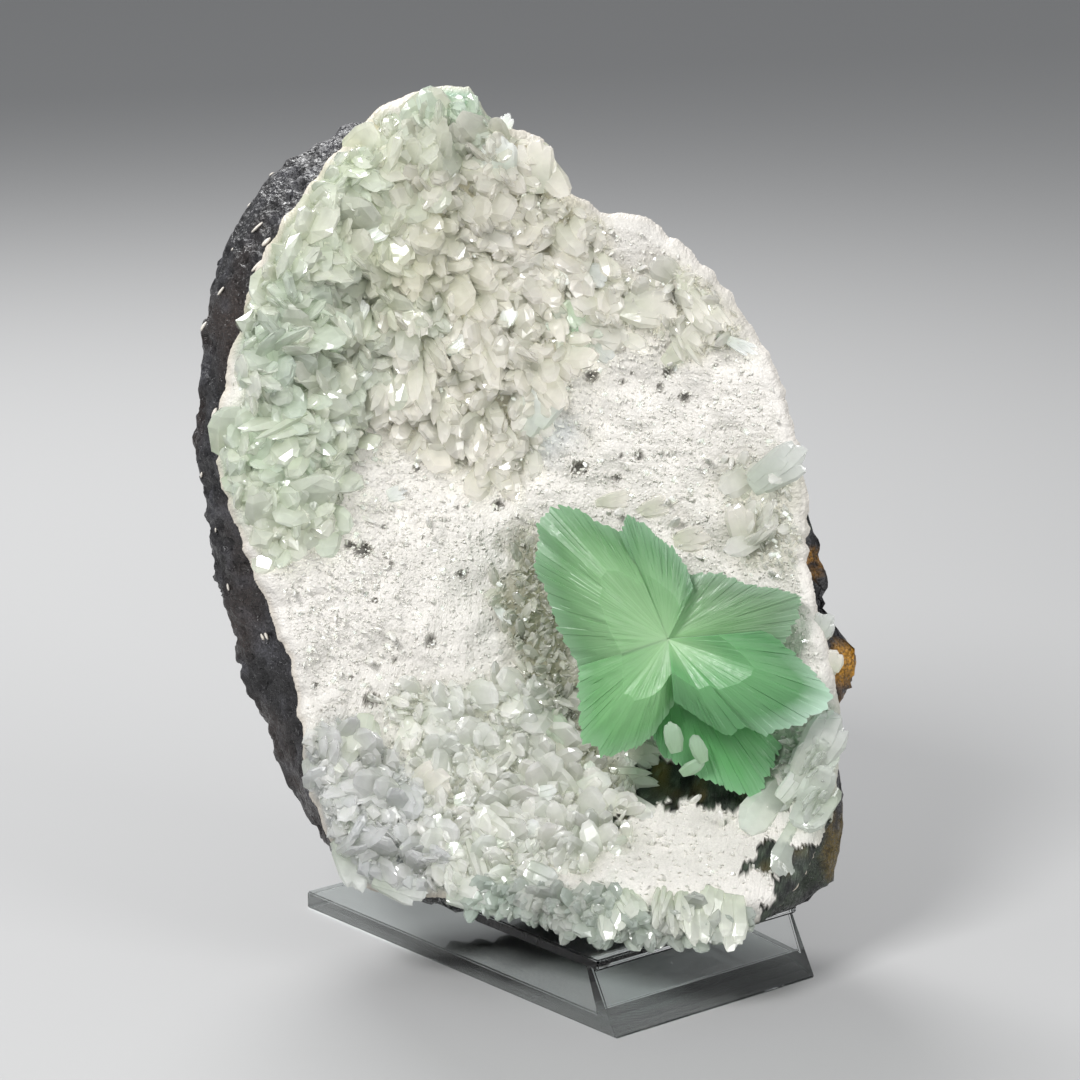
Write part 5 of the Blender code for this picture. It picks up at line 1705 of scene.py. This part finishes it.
def fan(name, draw):
    """One fan: slats with grooves above, plain below, with a stepped outer edge."""
    edge, heights, thicknesses = FANS[name]
    corners = np.array(edge, float)
    lengths = np.concatenate(((0.0,), np.cumsum(np.linalg.norm(np.diff(corners, axis=0), axis=1))))
    along = lengths / lengths[-1]
    across = np.linspace(0.0, 1.0, FAN_COLUMNS)
    borders = np.concatenate(((0.0,), np.cumsum(draw.uniform(0.5, 1.6, FAN_SLATS))))
    borders = borders / borders[-1]
    slat = np.clip(np.searchsorted(borders, across, side="right") - 1, 0, FAN_SLATS - 1)
    inside_slat = (across - borders[slat]) / (borders[slat + 1] - borders[slat])
    step = draw.uniform(-1.0, 1.0, FAN_SLATS)[slat] * SLAT_STEP
    tilt = np.sign(draw.uniform(-1.0, 1.0, FAN_SLATS))[slat]
    step = step + (inside_slat - 0.5) * tilt * SLAT_STEP
    cut = draw.uniform(0.0, 1.0, FAN_SLATS)[slat] * SLAT_EDGE
    cut += SLAT_EDGE * np.abs(inside_slat - draw.uniform(0.2, 0.8, FAN_SLATS)[slat])
    broken = draw.uniform(0.45, 1.2, FAN_SLATS)[slat]
    grooves = sum(np.sin(across * turns * math.tau + draw.uniform(0.0, math.tau)) * height
                  for turns, height in ((23, 0.5), (41, 0.8), (57, 0.6)))
    ex = np.interp(across, along, corners[:, 0])
    ey = np.interp(across, along, corners[:, 1])
    index_across = np.interp(across, along, np.linspace(0.0, 1.0, len(corners)))
    turn = np.unwrap(np.arctan2(ey - ROSETTE_POINT[1], ex - ROSETTE_POINT[0]))
    far = np.hypot(ex - ROSETTE_POINT[0], ey - ROSETTE_POINT[1])
    sheet = draw.uniform(0.0, 90.0)
    points = []
    silk = []
    shares = []
    for share, under in ([(share, False) for share in np.linspace(0.0, 1.0, FAN_ROWS) ** 0.8]
                         + [(share, True) for share in np.linspace(1.0, 0.0, FAN_UNDER_ROWS)]):
        full = share * (1.0 - cut * share ** 3)
        spread = FAN_START + (1.0 - FAN_START) * full
        px = ROSETTE_POINT[0] + (ex - ROSETTE_POINT[0]) * spread
        py = ROSETTE_POINT[1] + (ey - ROSETTE_POINT[1]) * spread
        height = fan_height(full, index_across, heights)
        if under:
            height = height - between(thicknesses, full)
        else:
            grow_in = min(share / 0.45, 1.0) ** 1.6
            height = height + (step + STRIA_HEIGHT * grooves) * grow_in
            height = height - TERRACE_DROP * np.clip((share - broken) * 14.0, 0.0, 1.0)
            flake = np.column_stack((turn * SILK_TURN / FLAKE_ACROSS + share * 3.0,
                                     far * full / FLAKE_ALONG, np.full(FAN_COLUMNS, sheet)))
            height = height + FLAKE_HEIGHT * cell_field(flake, 1.0, 81) * grow_in
        points.append(np.column_stack((px, py, height)))
        silk.append(np.column_stack((turn * SILK_TURN, far * full, np.full(FAN_COLUMNS, sheet))))
        shares.append(np.full(FAN_COLUMNS, share))
    count = len(points)
    points = np.vstack(points)
    index = np.arange(count * FAN_COLUMNS).reshape(count, FAN_COLUMNS)
    looped = np.vstack((index, index[:1]))
    faces = grid_faces(looped)
    faces.append(index[:, 0].tolist())
    faces.append(index[::-1, -1].tolist())

    share = np.concatenate(shares)
    wide = np.tile(across, count)
    inner, outer = ROSETTE_GREEN[name]
    tint = mixed_colour(painted(ROSETTE_CORE, len(points)), inner, share / 0.4)
    tint = mixed_colour(tint, outer, (share - 0.45) / 0.4)
    tip = (share - 0.8) / 0.2
    if name == "right":
        tip = tip * 1.1 * np.clip(1.0 - np.abs(wide - 0.4) / 0.3, 0.0, 1.0)
    else:
        tip = tip * 0.2
    tint = mixed_colour(tint, ROSETTE_TIP, tip)
    shade = np.tile(draw.uniform(0.97, 1.03, FAN_SLATS)[slat], count)
    return points, faces, np.clip(tint * shade[:, None], 0.0, 1.0), np.vstack(silk)


def rosette_foot():
    """The rough stub under the fans."""
    turns = np.arange(FOOT_SIDES) * math.tau / FOOT_SIDES
    rings = []
    for scale, height in FOOT_RINGS:
        radius = FOOT_RADIUS * scale * (1.0 + 0.12 * np.sin(3.0 * turns + 1.0))
        ring = np.column_stack((ROSETTE_POINT[0] + radius * np.cos(turns),
                                ROSETTE_POINT[1] - FOOT_DROP + radius * np.sin(turns),
                                np.full(FOOT_SIDES, height)))
        ring[:, :2] += cell_field(ring, 1.6, 71)[:, None] * 0.7
        rings.append(ring)
    low = np.array([[*ROSETTE_POINT, FOOT_RINGS[0][1]]])
    top = np.array([[*ROSETTE_POINT, FOOT_TOP]])
    points = np.vstack([low] + rings + [top])
    return points, ring_faces(len(FOOT_RINGS), FOOT_SIDES), painted(srgb(96, 150, 100), len(points))


def make_rosette():
    """All the fans, their small side blades and the stub, with the run of their silky grain."""
    draw = np.random.default_rng(37)
    parts = [rosette_foot()]
    silk = [parts[0][0]]
    for name in FANS:
        *part, run = fan(name, draw)
        parts.append(part)
        silk.append(run)
    roots, axes, lengths, widths = (np.array(column, float) for column in zip(*SMALL_GREEN_BLADES))
    parts.append(grow("blade", roots, axes, np.array([0.1, -0.2, 0.3]), lengths, widths,
                      widths * 0.22, painted(srgb(100, 156, 98), len(roots)), draw))
    silk.append(parts[-1][0])
    return joined(parts), np.vstack(silk)


def make_rosette_material():
    """Silky green crystal that glows a little where light comes through."""
    material, nodes, links, shader = start_material("green_crystal", srgb(140, 206, 150), 0.3, 1.54)
    run = nodes.new("ShaderNodeAttribute")
    run.attribute_name = "silk"
    bend = nodes.new("ShaderNodeTexNoise")
    bend.inputs["Scale"].default_value = 0.12
    stretch = nodes.new("ShaderNodeVectorMath")
    stretch.operation = "MULTIPLY"
    stretch.inputs[1].default_value = (1.0 / SILK_ACROSS, 1.0 / SILK_ALONG, 1.0)
    shift = nodes.new("ShaderNodeVectorMath")
    shift.operation = "MULTIPLY_ADD"
    shift.inputs[1].default_value = (SILK_CURVE / SILK_ACROSS * 4.0, 0.0, 0.0)
    silk = nodes.new("ShaderNodeTexNoise")
    silk.inputs["Scale"].default_value = 1.0
    silk.inputs["Detail"].default_value = 3.0
    streak = nodes.new("ShaderNodeMapRange")
    streak.inputs["From Min"].default_value = 0.3
    streak.inputs["From Max"].default_value = 0.7
    streak.inputs["To Min"].default_value = SILK_SHADES[0]
    streak.inputs["To Max"].default_value = SILK_SHADES[1]
    links.new(run.outputs["Vector"], bend.inputs["Vector"])
    links.new(run.outputs["Vector"], stretch.inputs[0])
    links.new(bend.outputs["Color"], shift.inputs[0])
    links.new(stretch.outputs["Vector"], shift.inputs[2])
    links.new(shift.outputs["Vector"], silk.inputs["Vector"])
    links.new(silk.outputs[0], streak.inputs["Value"])
    add_tint(nodes, links, shader, streak.outputs["Result"])
    shader.inputs["Transmission Weight"].default_value = 0.12
    shader.inputs["Subsurface Weight"].default_value = 0.55
    shader.inputs["Subsurface Radius"].default_value = (0.75, 1.0, 0.8)
    shader.inputs["Subsurface Scale"].default_value = 1.3 * MM
    let_light_through(nodes, links, shader, GREEN_PASS_SHARE, GREEN_PASSES)
    add_gloss(nodes, links, shader, GREEN_GLOSS)
    grain = add_grain(nodes, *GREEN_GRAIN)
    first = add_bump(nodes, links, shader, silk.outputs[0], *SILK_BUMP)
    add_bump(nodes, links, shader, grain.outputs["Height"], *GREEN_GRAIN_BUMP, first)
    return material


(rosette_points, rosette_faces, rosette_tint), rosette_silk = make_rosette()
make_piece("green_rosette", rosette_points, rosette_faces, make_rosette_material(),
           "apophyllite_rosette", rosette_tint, seat=False, silk=rosette_silk)
